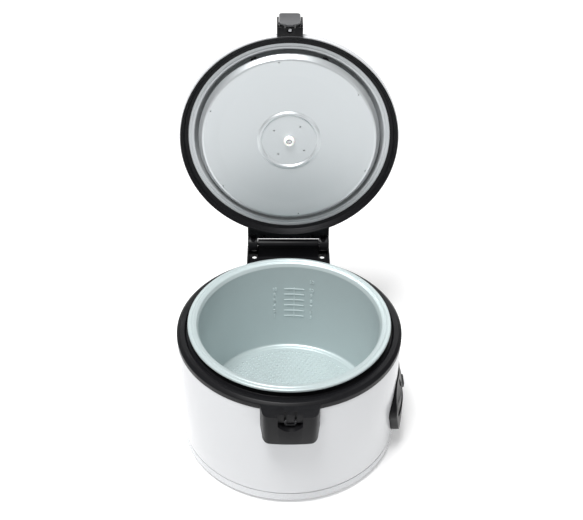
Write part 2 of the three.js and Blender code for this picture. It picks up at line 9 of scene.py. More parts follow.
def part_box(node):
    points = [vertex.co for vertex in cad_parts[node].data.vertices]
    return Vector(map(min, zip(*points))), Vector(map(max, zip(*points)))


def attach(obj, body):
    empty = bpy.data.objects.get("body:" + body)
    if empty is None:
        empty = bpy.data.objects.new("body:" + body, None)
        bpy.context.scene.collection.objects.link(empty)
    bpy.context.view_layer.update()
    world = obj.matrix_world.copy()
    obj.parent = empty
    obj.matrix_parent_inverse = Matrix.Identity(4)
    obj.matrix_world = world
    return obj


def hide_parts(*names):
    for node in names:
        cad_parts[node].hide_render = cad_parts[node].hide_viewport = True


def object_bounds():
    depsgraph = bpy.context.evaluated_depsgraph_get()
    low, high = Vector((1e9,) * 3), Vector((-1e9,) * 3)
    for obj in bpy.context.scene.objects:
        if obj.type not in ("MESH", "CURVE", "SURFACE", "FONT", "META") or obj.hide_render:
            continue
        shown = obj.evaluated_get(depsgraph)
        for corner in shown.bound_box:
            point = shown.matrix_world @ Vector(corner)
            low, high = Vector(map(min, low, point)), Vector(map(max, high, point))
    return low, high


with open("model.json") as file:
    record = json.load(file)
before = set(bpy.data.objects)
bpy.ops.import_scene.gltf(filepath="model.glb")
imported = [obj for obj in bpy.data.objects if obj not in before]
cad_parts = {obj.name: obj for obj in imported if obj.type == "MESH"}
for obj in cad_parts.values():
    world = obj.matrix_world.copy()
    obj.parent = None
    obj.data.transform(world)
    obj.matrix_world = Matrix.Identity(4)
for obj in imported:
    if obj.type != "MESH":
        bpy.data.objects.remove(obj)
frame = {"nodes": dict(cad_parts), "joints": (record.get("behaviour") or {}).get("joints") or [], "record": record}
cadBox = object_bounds()
scene = bpy.context.scene

mm = 0.001
roundSteps = 192  # facets round the big turned pieces
lidBodies = ("lid", "plate", "vent_cap", "latch")

# The lid is drawn closed, then turned open about its hinge.
hingeJoint = next(joint for joint in frame["joints"] if joint["name"] == "lid_hinge")
hingePoint = Vector(hingeJoint["pos_m"])
hingeTurn = Matrix.Rotation(math.radians(hingeJoint["range_deg"][0]), 4, Vector(hingeJoint["axis"]))
closeLid = Matrix.Translation(hingePoint) @ hingeTurn @ Matrix.Translation(-hingePoint)
openLid = closeLid.inverted()
bodyOf = {node: body for body, members in frame["record"]["behaviour"]["bodies"].items() for node in members}


def extent(node):  # lowest and highest corner in mm, lid pieces as if closed
    if bodyOf[node] not in lidBodies:
        return tuple(Vector(corner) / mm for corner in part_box(node))
    points = [closeLid @ vertex.co / mm for vertex in frame["nodes"][node].data.vertices]
    low = Vector([min(point[i] for point in points) for i in range(3)])
    high = Vector([max(point[i] for point in points) for i in range(3)])
    return low, high


class Finish:  # a shader and the nodes that vary it, on Object coordinates
    def __init__(self, name, colour, roughness, metallic=0.0, **settings):
        self.material = bpy.data.materials.new(name)
        self.material.use_nodes = True
        self.tree = self.material.node_tree
        self.shader = self.tree.nodes["Principled BSDF"]
        self.colour = colour
        self.roughness = roughness
        self.shader.inputs["Base Color"].default_value = (*colour, 1)
        self.shader.inputs["Roughness"].default_value = roughness
        self.shader.inputs["Metallic"].default_value = metallic
        for label, value in settings.items():
            self.shader.inputs[label.replace("_", " ")].default_value = value
        coordinates = self.add("ShaderNodeTexCoord")
        self.place = coordinates.outputs["Object"]
        self.bumps = []

    def add(self, kind, **settings):
        node = self.tree.nodes.new(kind)
        for label, value in settings.items():
            setattr(node, label, value)
        return node

    def link(self, source, target):
        self.tree.links.new(source, target)

    def centreOn(self, matrix):  # turns the pattern so that its Z is the axis of the piece
        mapping = self.add("ShaderNodeMapping")
        mapping.inputs["Location"].default_value = matrix.to_translation()
        mapping.inputs["Rotation"].default_value = matrix.to_euler()
        self.link(self.place, mapping.inputs["Vector"])
        self.place = mapping.outputs["Vector"]

    def noise(self, scale, detail=3.0, place=None):
        texture = self.add("ShaderNodeTexNoise")
        texture.inputs["Scale"].default_value = scale
        texture.inputs["Detail"].default_value = detail
        self.link(place or self.place, texture.inputs["Vector"])
        return texture.outputs["Fac"]

    def rings(self, scale):  # noise that changes only with the distance from the pattern's axis
        flat = self.add("ShaderNodeVectorMath", operation="MULTIPLY")
        flat.inputs[1].default_value = (1, 1, 0)
        self.link(self.place, flat.inputs[0])
        radius = self.add("ShaderNodeVectorMath", operation="LENGTH")
        self.link(flat.outputs["Vector"], radius.inputs[0])
        texture = self.add("ShaderNodeTexNoise", noise_dimensions="1D")
        texture.inputs["Scale"].default_value = scale
        texture.inputs["Detail"].default_value = 4
        self.link(radius.outputs["Value"], texture.inputs["W"])
        return texture.outputs["Fac"]

    def varyRoughness(self, fac, low, high):
        ramp = self.add("ShaderNodeMapRange")
        ramp.inputs["From Min"].default_value = 0.3
        ramp.inputs["From Max"].default_value = 0.7
        ramp.inputs["To Min"].default_value = low
        ramp.inputs["To Max"].default_value = high
        self.link(fac, ramp.inputs["Value"])
        self.link(ramp.outputs["Result"], self.shader.inputs["Roughness"])

    def varyColour(self, fac, other, low=0.35, high=0.65):
        ramp = self.add("ShaderNodeMapRange")
        ramp.inputs["From Min"].default_value = low
        ramp.inputs["From Max"].default_value = high
        self.link(fac, ramp.inputs["Value"])
        mix = self.add("ShaderNodeMix", data_type="RGBA")
        for socket in mix.inputs:
            if socket.type == "RGBA":
                socket.default_value = (*(self.colour if socket.name == "A" else other), 1)
        self.link(ramp.outputs["Result"], mix.inputs["Factor"])
        output = next(socket for socket in mix.outputs if socket.type == "RGBA")
        self.link(output, self.shader.inputs["Base Color"])

    def emboss(self, fac, strength, depth):  # a bump, depth in mm
        bump = self.add("ShaderNodeBump")
        bump.inputs["Strength"].default_value = strength
        bump.inputs["Distance"].default_value = depth * mm
        self.link(fac, bump.inputs["Height"])
        if self.bumps:
            self.link(self.bumps[-1].outputs["Normal"], bump.inputs["Normal"])
        self.link(bump.outputs["Normal"], self.shader.inputs["Normal"])
        self.bumps.append(bump)


def makeFinishes():
    made = {}

    paint = Finish("white_gloss_paint", (0.64, 0.65, 0.665), 0.24, Coat_Weight=0.15, Coat_Roughness=0.06,
                   Specular_IOR_Level=0.3)
    paint.varyRoughness(paint.noise(900, 1), 0.22, 0.27)
    paint.emboss(paint.noise(420, 2), 0.05, 0.06)  # faint orange peel
    made["white_paint"] = paint

    plastic = Finish("white_gloss_plastic", (0.64, 0.65, 0.665), 0.27, Coat_Weight=0.1, Coat_Roughness=0.1,
                     Specular_IOR_Level=0.3)
    plastic.varyRoughness(plastic.noise(900, 1), 0.25, 0.3)
    plastic.emboss(plastic.noise(500, 2), 0.05, 0.05)
    made["white_plastic"] = plastic

    black = Finish("black_satin_plastic", (0.005, 0.005, 0.006), 0.38, Specular_IOR_Level=0.18)
    black.varyRoughness(black.noise(60), 0.33, 0.44)
    black.varyColour(black.noise(9), (0.0065, 0.0065, 0.0075))
    black.emboss(black.noise(3200, 2), 0.18, 0.03)  # moulded grain
    made["black_plastic"] = black

    grey = Finish("grey_satin_plastic", (0.055, 0.056, 0.06), 0.42, Specular_IOR_Level=0.4)
    grey.varyRoughness(grey.noise(70), 0.36, 0.5)
    grey.varyColour(grey.noise(12), (0.065, 0.066, 0.07))
    grey.emboss(grey.noise(3000, 2), 0.2, 0.03)
    made["grey_plastic"] = grey

    coating = Finish("pot_release_coating", (0.46, 0.53, 0.535), 0.36, 0.25, Specular_IOR_Level=0.5)
    coating.varyColour(coating.noise(2400, 1), (0.5, 0.57, 0.575))  # fine speckle of the sprayed coat
    coating.varyRoughness(coating.noise(45), 0.31, 0.42)
    coating.emboss(coating.noise(1500, 2), 0.1, 0.03)
    made["pot_coating"] = coating

    # pot coating painted lighter for the raised scale marks: a painted highlight for the light their relief
    # catches
    marks = Finish("scale_marks_painted_highlight", (0.62, 0.69, 0.695), 0.3, 0.25)
    marks.varyRoughness(marks.noise(60), 0.26, 0.36)
    marks.emboss(marks.noise(1500, 2), 0.1, 0.02)
    made["scale_marks"] = marks

    lidMetal = Finish("spun_lid_aluminium", (0.6, 0.63, 0.645), 0.38, 0.7)
    lidMetal.centreOn(closeLid)
    lidMetal.varyRoughness(lidMetal.rings(900), 0.36, 0.41)
    lidMetal.emboss(lidMetal.rings(2600), 0.05, 0.02)  # marks of the spinning tool
    made["lid_aluminium"] = lidMetal

    lidPanMetal = Finish("matt_lid_aluminium", (0.56, 0.585, 0.6), 0.42, 0.35)
    lidPanMetal.centreOn(closeLid)
    lidPanMetal.varyRoughness(lidPanMetal.rings(900), 0.4, 0.46)
    lidPanMetal.emboss(lidPanMetal.rings(2600), 0.05, 0.02)
    made["lid_pan_aluminium"] = lidPanMetal

    metal = Finish("drawn_aluminium", (0.72, 0.74, 0.75), 0.34, 0.92)
    metal.varyRoughness(metal.rings(700), 0.27, 0.42)
    metal.emboss(metal.rings(2200), 0.14, 0.03)
    made["aluminium"] = metal

    cast = Finish("cast_aluminium", (0.48, 0.49, 0.5), 0.5, 0.9)
    cast.varyRoughness(cast.noise(500), 0.42, 0.6)
    cast.emboss(cast.rings(1600), 0.35, 0.06)  # lathe marks on the face
    cast.emboss(cast.noise(1500), 0.25, 0.05)
    made["cast_aluminium"] = cast

    # steel painted near-black for the hinge screws: painted shade of the dark recesses they sit in, the screws
    # being plain steel
    recessShadedSteel = Finish("recess_shaded_steel", (0.05, 0.05, 0.052), 0.34, 0.8)
    recessShadedSteel.varyRoughness(recessShadedSteel.noise(400), 0.28, 0.42)
    recessShadedSteel.emboss(recessShadedSteel.noise(900, 2), 0.1, 0.02)
    made["recess_shaded_steel"] = recessShadedSteel

    steel = Finish("bright_steel", (0.62, 0.63, 0.65), 0.26, 1.0)
    steel.varyRoughness(steel.noise(350), 0.2, 0.36)
    steel.emboss(steel.noise(900, 2), 0.1, 0.02)
    made["steel"] = steel

    rubber = Finish("black_rubber", (0.02, 0.02, 0.021), 0.8)
    rubber.varyRoughness(rubber.noise(200), 0.7, 0.9)
    rubber.emboss(rubber.noise(1800), 0.3, 0.05)
    made["rubber"] = rubber

    silicone = Finish("white_silicone", (0.86, 0.86, 0.84), 0.4,
                      Subsurface_Weight=0.2, Subsurface_Scale=0.002)
    silicone.varyRoughness(silicone.noise(160), 0.34, 0.5)
    silicone.emboss(silicone.noise(1200), 0.1, 0.03)
    made["silicone"] = silicone

    for slot, name, colour, other in (
        ("red_lens", "red_lens", (0.5, 0.02, 0.01), (0.4, 0.01, 0.008)),
        ("amber_lens", "amber_lens", (0.72, 0.28, 0.03), (0.6, 0.2, 0.02)),
    ):
        lens = Finish(name, colour, 0.14, Coat_Weight=0.6, Coat_Roughness=0.05)
        lens.varyColour(lens.noise(260), other)
        lens.emboss(lens.noise(700, 1), 0.12, 0.06)
        made[slot] = lens

    for slot, name, colour, other, roughness in (
        ("ceramic", "pale_ceramic", (0.78, 0.74, 0.66), (0.7, 0.66, 0.58), 0.75),
        ("mica", "brown_mica", (0.42, 0.3, 0.15), (0.32, 0.22, 0.1), 0.55),
        ("ferrite", "dark_ferrite", (0.05, 0.05, 0.055), (0.075, 0.07, 0.07), 0.6),
    ):
        plain = Finish(name, colour, roughness)
        plain.varyColour(plain.noise(300), other)
        plain.varyRoughness(plain.noise(500), roughness - 0.08, roughness + 0.1)
        plain.emboss(plain.noise(1400), 0.25, 0.05)
        made[slot] = plain
    return {slot: finish.material for slot, finish in made.items()}


finishes = makeFinishes()
print("finishes made:", len(finishes))


def linked(bm, name="work"):
    bmesh.ops.remove_doubles(bm, verts=bm.verts, dist=1e-4)
    bmesh.ops.recalc_face_normals(bm, faces=bm.faces)
    mesh = bpy.data.meshes.new(name)
    bm.to_mesh(mesh)
    bm.free()
    shape = bpy.data.objects.new(name, mesh)
    scene.collection.objects.link(shape)
    return shape


def settled(shape):  # the modifiers' result becomes the mesh
    bpy.context.view_layer.update()
    graph = bpy.context.evaluated_depsgraph_get()
    mesh = bpy.data.meshes.new_from_object(shape.evaluated_get(graph))
    shape.modifiers.clear()
    shape.data = mesh
    return shape


def filleted(outline, steps=6, closed=True):  # corners given as (u, v, fillet radius)
    points = []
    last = len(outline) - 1
    for i, corner in enumerate(outline):
        here = Vector(corner[:2])
        radius = corner[2] if len(corner) > 2 else 0
        if radius == 0 or (not closed and i in (0, last)):
            points.append(here)
            continue
        before = Vector(outline[i - 1][:2]) - here
        after = Vector(outline[(i + 1) % len(outline)][:2]) - here
        half = before.angle(after) / 2
        reach = min(radius / math.tan(half), 0.49 * before.length, 0.49 * after.length)
        bisector = (before.normalized() + after.normalized()).normalized()
        centre = here + bisector * (reach / math.cos(half))
        first = here + before.normalized() * reach - centre
        final = here + after.normalized() * reach - centre
        start = math.atan2(first.y, first.x)
        sweep = (math.atan2(final.y, final.x) - start + math.pi) % (2 * math.pi) - math.pi
        for step in range(steps + 1):
            angle = start + sweep * step / steps
            points.append(centre + first.length * Vector((math.cos(angle), math.sin(angle))))
    return points


def bowed(start, pull, end, steps=12):  # a curve from start to end, drawn towards pull
    points = []
    for step in range(steps):
        t = step / steps
        point = Vector(start) * (1 - t) ** 2 + Vector(pull) * 2 * t * (1 - t) + Vector(end) * t**2
        points.append(point)
    return points


def turned(outline, segments=roundSteps, along="Z", centre=(0, 0, 0), steps=6):
    onAxis = outline[0][0] == 0 and outline[-1][0] == 0
    profile = filleted(outline, steps, closed=not onAxis)
    middle = Vector(centre)
    bm = bmesh.new()
    columns = []
    for segment in range(segments):
        angle = 2 * math.pi * segment / segments
        column = []
        for radius, height in profile:
            across, aside = radius * math.cos(angle), radius * math.sin(angle)
            spot = {
                "X": (height, across, aside),
                "Y": (aside, height, across),
                "Z": (across, aside, height),
            }[along]
            column.append(bm.verts.new(middle + Vector(spot)))
        columns.append(column)
    pairs = len(profile) - 1 if onAxis else len(profile)
    for segment in range(segments):
        here, there = columns[segment], columns[(segment + 1) % segments]
        for i in range(pairs):
            j = (i + 1) % len(profile)
            bm.faces.new((here[i], there[i], there[j], here[j]))
    return linked(bm)


def pushed(outline, low, high, along="Z"):  # a prism; outline in xy, xz or yz
    bm = bmesh.new()
    rims = []
    for depth in (low, high):
        spots = []
        for u, v in outline:
            spot = {"X": (depth, u, v), "Y": (u, depth, v), "Z": (u, v, depth)}[along]
            spots.append(bm.verts.new(spot))
        rims.append(spots)
    bm.faces.new(rims[0])
    bm.faces.new(rims[1])
    for i in range(len(outline)):
        j = (i + 1) % len(outline)
        bm.faces.new((rims[0][i], rims[0][j], rims[1][j], rims[1][i]))
    return linked(bm)


def slab(x0, x1, y0, y1, z0, z1):
    return pushed([(x0, y0), (x1, y0), (x1, y1), (x0, y1)], z0, z1)


def roundedOutline(u0, u1, v0, v1, lower, upper, steps=8):
    return filleted([(u0, v0, lower), (u1, v0, lower), (u1, v1, upper), (u0, v1, upper)], steps)


def rod(radius, x0, x1, y, z, chamfer=0.3, segments=48):
    ends = [(0, x0), (radius, x0, chamfer), (radius, x1, chamfer), (0, x1)]
    return turned(ends, segments, "X", (0, y, z), 3)


def post(radius, x, y, z0, z1, chamfer=0.0, segments=48):
    ends = [(0, z0), (radius, z0, chamfer), (radius, z1, chamfer), (0, z1)]
    return turned(ends, segments, "Z", (x, y, 0), 3)


def crossBar(radius, y0, y1, x, z, segments=24):  # a plain round bar along Y
    return turned([(0, y0), (radius, y0), (radius, y1), (0, y1)], segments, "Y", (x, 0, z))


def bodyCore(gap, z0, z1):  # the round body with a gap round it, to cut from what is fixed on its outside
    radius = extent("top_rim")[1].x + gap
    return turned([(0, z0), (radius, z0), (radius, z1), (0, z1)], 256)


def combined(shape, others, operation):
    for other in others:
        joiner = shape.modifiers.new(operation, "BOOLEAN")
        joiner.operation = operation
        joiner.solver = "MANIFOLD"
        joiner.object = other
    settled(shape)
    for other in others:
        bpy.data.objects.remove(other)
    return shape


def cut(shape, *tools):
    return combined(shape, tools, "DIFFERENCE")


def joined(shape, *others):
    return combined(shape, others, "UNION")


def common(shape, *others):
    return combined(shape, others, "INTERSECT")


def softened(shape, width, segments=3, angle=32):  # rounds the edges
    bm = bmesh.new()
    bm.from_mesh(shape.data)
    bmesh.ops.remove_doubles(bm, verts=bm.verts, dist=2e-3)
    bmesh.ops.dissolve_limit(bm, angle_limit=math.radians(0.3), verts=bm.verts, edges=bm.edges)
    bm.to_mesh(shape.data)
    bm.free()
    bevel = shape.modifiers.new("soft edges", "BEVEL")
    bevel.width = width
    bevel.segments = segments
    bevel.limit_method = "ANGLE"
    bevel.angle_limit = math.radians(angle)
    bevel.use_clamp_overlap = True
    bevel.miter_outer = "MITER_ARC"
    return settled(shape)


def shifted(shape, x=0, y=0, z=0, turn=0):
    shape.data.transform(Matrix.Translation((x, y, z)) @ Matrix.Rotation(math.radians(turn), 4, "Z"))
    return shape


def heap(shapes):  # several closed shells in one mesh
    bm = bmesh.new()
    for shape in shapes:
        bm.from_mesh(shape.data)
        bpy.data.objects.remove(shape)
    mesh = bpy.data.meshes.new("heap")
    bm.to_mesh(mesh)
    bm.free()
    whole = bpy.data.objects.new("heap", mesh)
    scene.collection.objects.link(whole)
    return whole


madePieces = []


def finished(shape, name, slot, nodes, body=None, finish=None, sharp=38):
    body = body or bodyOf[nodes[0]]
    shape.name = name
    shape.data.name = name
    turn = openLid if body in lidBodies else Matrix.Identity(4)
    shape.data.transform(turn @ Matrix.Scale(mm, 4))
    shape.data.materials.clear()
    shape.data.materials.append(finishes[finish or slot])
    for face in shape.data.polygons:
        face.use_smooth = True
        face.material_index = 0
    shape.data.set_sharp_from_angle(angle=math.radians(sharp))
    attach(shape, body)
    if nodes:
        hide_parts(*nodes)
    madePieces.append(name)
    return shape


class Tree:
    def __init__(self, name, **inputs):
        self.group = bpy.data.node_groups.new(name, "GeometryNodeTree")
        face = self.group.interface
        face.new_socket("Geometry", in_out="INPUT", socket_type="NodeSocketGeometry")
        face.new_socket("Geometry", in_out="OUTPUT", socket_type="NodeSocketGeometry")
        self.names = {}
        for label, value in inputs.items():
            kind = "NodeSocketInt" if isinstance(value, int) else "NodeSocketFloat"
            socket = face.new_socket(label, in_out="INPUT", socket_type=kind)
            socket.default_value = value
            self.names[label] = socket.identifier
        socket = face.new_socket("finish", in_out="INPUT", socket_type="NodeSocketMaterial")
        self.names["finish"] = socket.identifier
        self.input = self.group.nodes.new("NodeGroupInput")
        self.output = self.group.nodes.new("NodeGroupOutput")

    def value(self, label):
        return self.input.outputs[label]

    def add(self, kind, ins=None, **settings):
        node = self.group.nodes.new(kind)
        for label, value in settings.items():
            setattr(node, label, value)
        for label, source in (ins or {}).items():
            self.feed(node.inputs[label], source)
        return node

    def feed(self, socket, source):
        if isinstance(source, bpy.types.NodeSocket):
            self.group.links.new(source, socket)
        else:
            socket.default_value = source

    def maths(self, operation, a, b=0.0):
        node = self.group.nodes.new("ShaderNodeMath")
        node.operation = operation
        self.feed(node.inputs[0], a)
        self.feed(node.inputs[1], b)
        return node.outputs[0]

    def spot(self, x=0.0, y=0.0, z=0.0):
        return self.add("ShaderNodeCombineXYZ", {"X": x, "Y": y, "Z": z}).outputs[0]

    def copies(self, place, shape, turn=(0, 0, 0)):  # one copy of a shape at each place
        points = self.add("GeometryNodePoints", {"Count": self.value("count"), "Position": place})
        ins = {"Points": points.outputs[0], "Instance": shape, "Rotation": turn}
        return self.add("GeometryNodeInstanceOnPoints", ins).outputs[0]

    def circle(self, level=0.0):  # angle and place of each copy on a circle about Z
        index = self.add("GeometryNodeInputIndex").outputs[0]
        step = self.maths("DIVIDE", 2 * math.pi, self.value("count"))
        first = self.maths("RADIANS", self.value("firstAngle"))
        angle = self.maths("ADD", first, self.maths("MULTIPLY", index, step))
        x = self.maths("MULTIPLY", self.maths("COSINE", angle), self.value("ring"))
        y = self.maths("MULTIPLY", self.maths("SINE", angle), self.value("ring"))
        return angle, self.spot(x, y, level)

    def without(self, tools):  # the piece with the tools cut out of it
        solid = self.add("GeometryNodeRealizeInstances", {"Geometry": tools})
        cutter = self.add("GeometryNodeMeshBoolean", operation="DIFFERENCE", solver="MANIFOLD")
        self.feed(cutter.inputs["Mesh 1"], self.input.outputs[0])
        self.feed(cutter.inputs["Mesh 2"], solid.outputs[0])
        return cutter.outputs[0]

    def close(self, geometry):
        realized = self.add("GeometryNodeRealizeInstances", {"Geometry": geometry})
        painted = self.add(
            "GeometryNodeSetMaterial",
            {"Geometry": realized.outputs[0], "Material": self.value("finish")},
        )
        self.group.links.new(painted.outputs[0], self.output.inputs[0])
        return self

    def applied(self, shape, finish, **values):
        modifier = shape.modifiers.new(self.group.name, "NODES")
        modifier.node_group = self.group
        for label, value in values.items():
            modifier[self.names[label]] = value
        modifier[self.names["finish"]] = finishes[finish]
        return settled(shape)


def makeRoundTree():  # copies of a piece on a circle about Z
    tree = Tree("copies_on_circle", count=3, ring=100.0, firstAngle=0.0)
    angle, place = tree.circle()
    return tree.close(tree.copies(place, tree.input.outputs[0], tree.spot(z=angle)))


def makeRowTree():  # copies of a piece in a row along X, centred
    tree = Tree("copies_in_row", count=2, pitch=10.0)
    index = tree.add("GeometryNodeInputIndex").outputs[0]
    middle = tree.maths("DIVIDE", tree.maths("SUBTRACT", tree.value("count"), 1.0), 2.0)
    x = tree.maths("MULTIPLY", tree.maths("SUBTRACT", index, middle), tree.value("pitch"))
    return tree.close(tree.copies(tree.spot(x), tree.input.outputs[0]))


def makeHoleTree():  # round holes through a piece, on a circle about Z
    tree = Tree("holes_on_circle", count=4, ring=20.0, firstAngle=0.0, holeRadius=1.0, level=0.0, depth=10.0)
    size = {"Vertices": 16, "Radius": tree.value("holeRadius"), "Depth": tree.value("depth")}
    drill = tree.add("GeometryNodeMeshCylinder", size)
    place = tree.circle(tree.value("level"))[1]
    return tree.close(tree.without(tree.copies(place, drill.outputs[0])))


def makeDimpleTree():  # shallow dimples in rings of 6, 12, 18 ... on a level face
    tree = Tree("dimples_in_rings", count=7, pitch=5.0, ballRadius=1.5, depth=1.0, level=0.0)
    index = tree.add("GeometryNodeInputIndex").outputs[0]
    inside = tree.maths("SUBTRACT", tree.maths("MULTIPLY", index, 12.0), 3.0)
    root = tree.maths("SQRT", tree.maths("MAXIMUM", inside, 0.0))
    ring = tree.maths("FLOOR", tree.maths("DIVIDE", tree.maths("ADD", root, 3.0), 6.0))
    before = tree.maths("MULTIPLY", tree.maths("MULTIPLY", ring, tree.maths("SUBTRACT", ring, 1.0)), 3.0)
    along = tree.maths("SUBTRACT", tree.maths("SUBTRACT", index, before), 1.0)
    inRing = tree.maths("MAXIMUM", tree.maths("MULTIPLY", ring, 6.0), 1.0)
    angle = tree.maths("MULTIPLY", tree.maths("DIVIDE", along, inRing), 2 * math.pi)
    radius = tree.maths("MULTIPLY", ring, tree.value("pitch"))
    x = tree.maths("MULTIPLY", tree.maths("COSINE", angle), radius)
    y = tree.maths("MULTIPLY", tree.maths("SINE", angle), radius)
    lift = tree.maths("SUBTRACT", tree.value("ballRadius"), tree.value("depth"))
    place = tree.spot(x, y, tree.maths("ADD", tree.value("level"), lift))
    size = {"Segments": 10, "Rings": 8, "Radius": tree.value("ballRadius")}
    ball = tree.add("GeometryNodeMeshUVSphere", size)
    return tree.close(tree.without(tree.copies(place, ball.outputs[0])))


def makeScaleTree():  # level lines of a measuring scale, as thin bars to be bent on to a wall
    tree = Tree("scale_lines", count=6, pitch=8.0, width=20.0, lineHeight=1.0, relief=0.2, lowest=0.0)
    index = tree.add("GeometryNodeInputIndex").outputs[0]
    z = tree.maths("ADD", tree.value("lowest"), tree.maths("MULTIPLY", index, tree.value("pitch")))
    size = tree.spot(tree.value("width"), tree.value("relief"), tree.value("lineHeight"))
    bar = tree.add("GeometryNodeMeshCube", {"Size": size, "Vertices X": 12})
    return tree.close(tree.copies(tree.spot(z=z), bar.outputs[0]))


roundTree = makeRoundTree()
rowTree = makeRowTree()
holeTree = makeHoleTree()
dimpleTree = makeDimpleTree()
scaleTree = makeScaleTree()


def screwShape(headRadius, headLow, headHigh, shankHigh, up=True):
    # a cross-headed screw about Z; the head's face is at headHigh when up, else at headLow
    face, seat = (headHigh, headLow) if up else (headLow, headHigh)
    away = 1 if up else -1
    height = abs(face - seat)
    head = turned(
        [(0, seat), (headRadius, seat, 0.1), (headRadius, face - away * 0.45 * height, height * 0.5),
         (headRadius * 0.55, face, height), (0, face)],
        32,
    )
    reach = headRadius * 0.62
    wide = headRadius * 0.13
    crossing = [
        slab(-reach, reach, -wide, wide, face - height * 0.7, face + height * 0.7),
        slab(-wide, wide, -reach, reach, face - height * 0.7, face + height * 0.7),
    ]
    cut(head, *crossing)
    low, high = sorted((seat, shankHigh))
    return heap([head, post(headRadius * 0.52, 0, 0, low, high, 0.2, 20)])


def makeShell():
    low, high = extent("outer_shell")
    shell = {"radius": high.x, "wall": 1.6, "edge": 0.6, "leverWindow": 14.0, "inletWindow": 18.0}
    inner = shell["radius"] - shell["wall"]
    tube = turned([
        (inner, low.z), (shell["radius"], low.z, shell["edge"]),
        (shell["radius"], high.z, 0.3), (inner, high.z),
    ], 256)
    leverLow, leverHigh = extent("cook_lever")
    inletLow, inletHigh = extent("power_inlet")
    cut(
        tube,
        slab(100, 140, -shell["leverWindow"], shell["leverWindow"], leverLow.z - 15, leverHigh.z + 9),
        slab(-shell["inletWindow"], shell["inletWindow"], 100, 140, inletLow.z + 4, inletHigh.z - 4),
    )
    finished(tube, "body_shell", "white_paint", ["outer_shell"])


def makeBasePan():
    low, high = extent("base_pan")
    pan = {"radius": high.x, "under": low.z + 2, "bend": 7.0, "floor": 4.4, "boss": 15.0, "lip": 3.2,
           "screwRing": 112.0, "screwHole": 2.6, "seam": 6.7}
    r = pan["radius"]
    base = turned([
        (0, low.z), (pan["boss"], low.z, 0.8), (pan["boss"] + 3, pan["under"], 0.8),
        (r - 26, pan["under"], 0.6), (r - 25, pan["under"] + 0.7, 0.6), (r - 23, pan["under"] + 0.7, 0.6),
        (r - 22, pan["under"], 0.6), (r, pan["under"], pan["bend"]),
        (r, high.z - pan["seam"], 0.5), (r - pan["lip"], high.z - pan["seam"]), (r - pan["lip"], high.z),
        (r - 4, high.z), (r - 4, pan["under"] + pan["bend"], 3), (r - 9, pan["floor"]), (0, pan["floor"]),
    ], 256)
    holeTree.applied(base, "white_plastic", count=3, ring=pan["screwRing"], firstAngle=30.0,
                     holeRadius=pan["screwHole"], level=low.z, depth=20.0)
    finished(base, "base_pan_detailed", "white_plastic", ["base_pan"])

    footLow, footHigh = extent("rubber_foot_1")
    foot = {"ring": 100.0, "radius": (footHigh.x - footLow.x) / 2, "dish": 5.0}
    rubber = turned([
        (0, footHigh.z), (foot["radius"] - 1, footHigh.z), (foot["radius"], footLow.z + 0.7, 0.3),
        (foot["radius"] - 0.6, footLow.z, 0.4), (foot["dish"], footLow.z, 0.4),
        (foot["dish"] - 0.8, footLow.z + 0.8, 0.3), (0, footLow.z + 0.8),
    ], 40)
    roundTree.applied(rubber, "rubber", count=4, ring=foot["ring"], firstAngle=45.0)
    finished(rubber, "rubber_feet", "rubber", [f"rubber_foot_{i}" for i in range(1, 5)])

    screwLow, screwHigh = extent("base_screw_1")
    screw = screwShape(3.8, screwLow.z, pan["under"] - 0.3, screwHigh.z, up=False)
    roundTree.applied(screw, "steel", count=3, ring=pan["screwRing"], firstAngle=30.0)
    finished(screw, "base_screws", "steel", [f"base_screw_{i}" for i in range(1, 4)])


def makeRim():
    low, high = extent("top_rim")
    rim = {"radius": high.x, "ledge": 120.6, "seat": 114.6, "bore": 111.6, "skirt": 127.4, "chamfer": 3.6}
    r, bore, skirt = rim["radius"], rim["bore"], rim["skirt"]
    bottom, dip, crest = low.z + 6, high.z - 6.2, high.z - 3.4
    ring = turned([
        (r, bottom, 0.3), (r, dip, 1.6), (r - rim["chamfer"], crest, 1.4), (rim["ledge"], crest, 0.9),
        (rim["ledge"] - 1.6, dip, 0.6), (rim["seat"], dip, 0.8), (rim["seat"], high.z, 0.6),
        (bore, high.z, 0.6), (bore, low.z + 2, 0.3), (bore + 2, low.z + 2, 0.3), (bore + 2, bottom + 3.6),
        (skirt - 2, bottom + 3.6), (skirt - 2, low.z, 0.2), (skirt, low.z, 0.3), (skirt, bottom, 0.2),
    ], 256)
    finished(ring, "body_rim", "black_plastic", ["top_rim"])


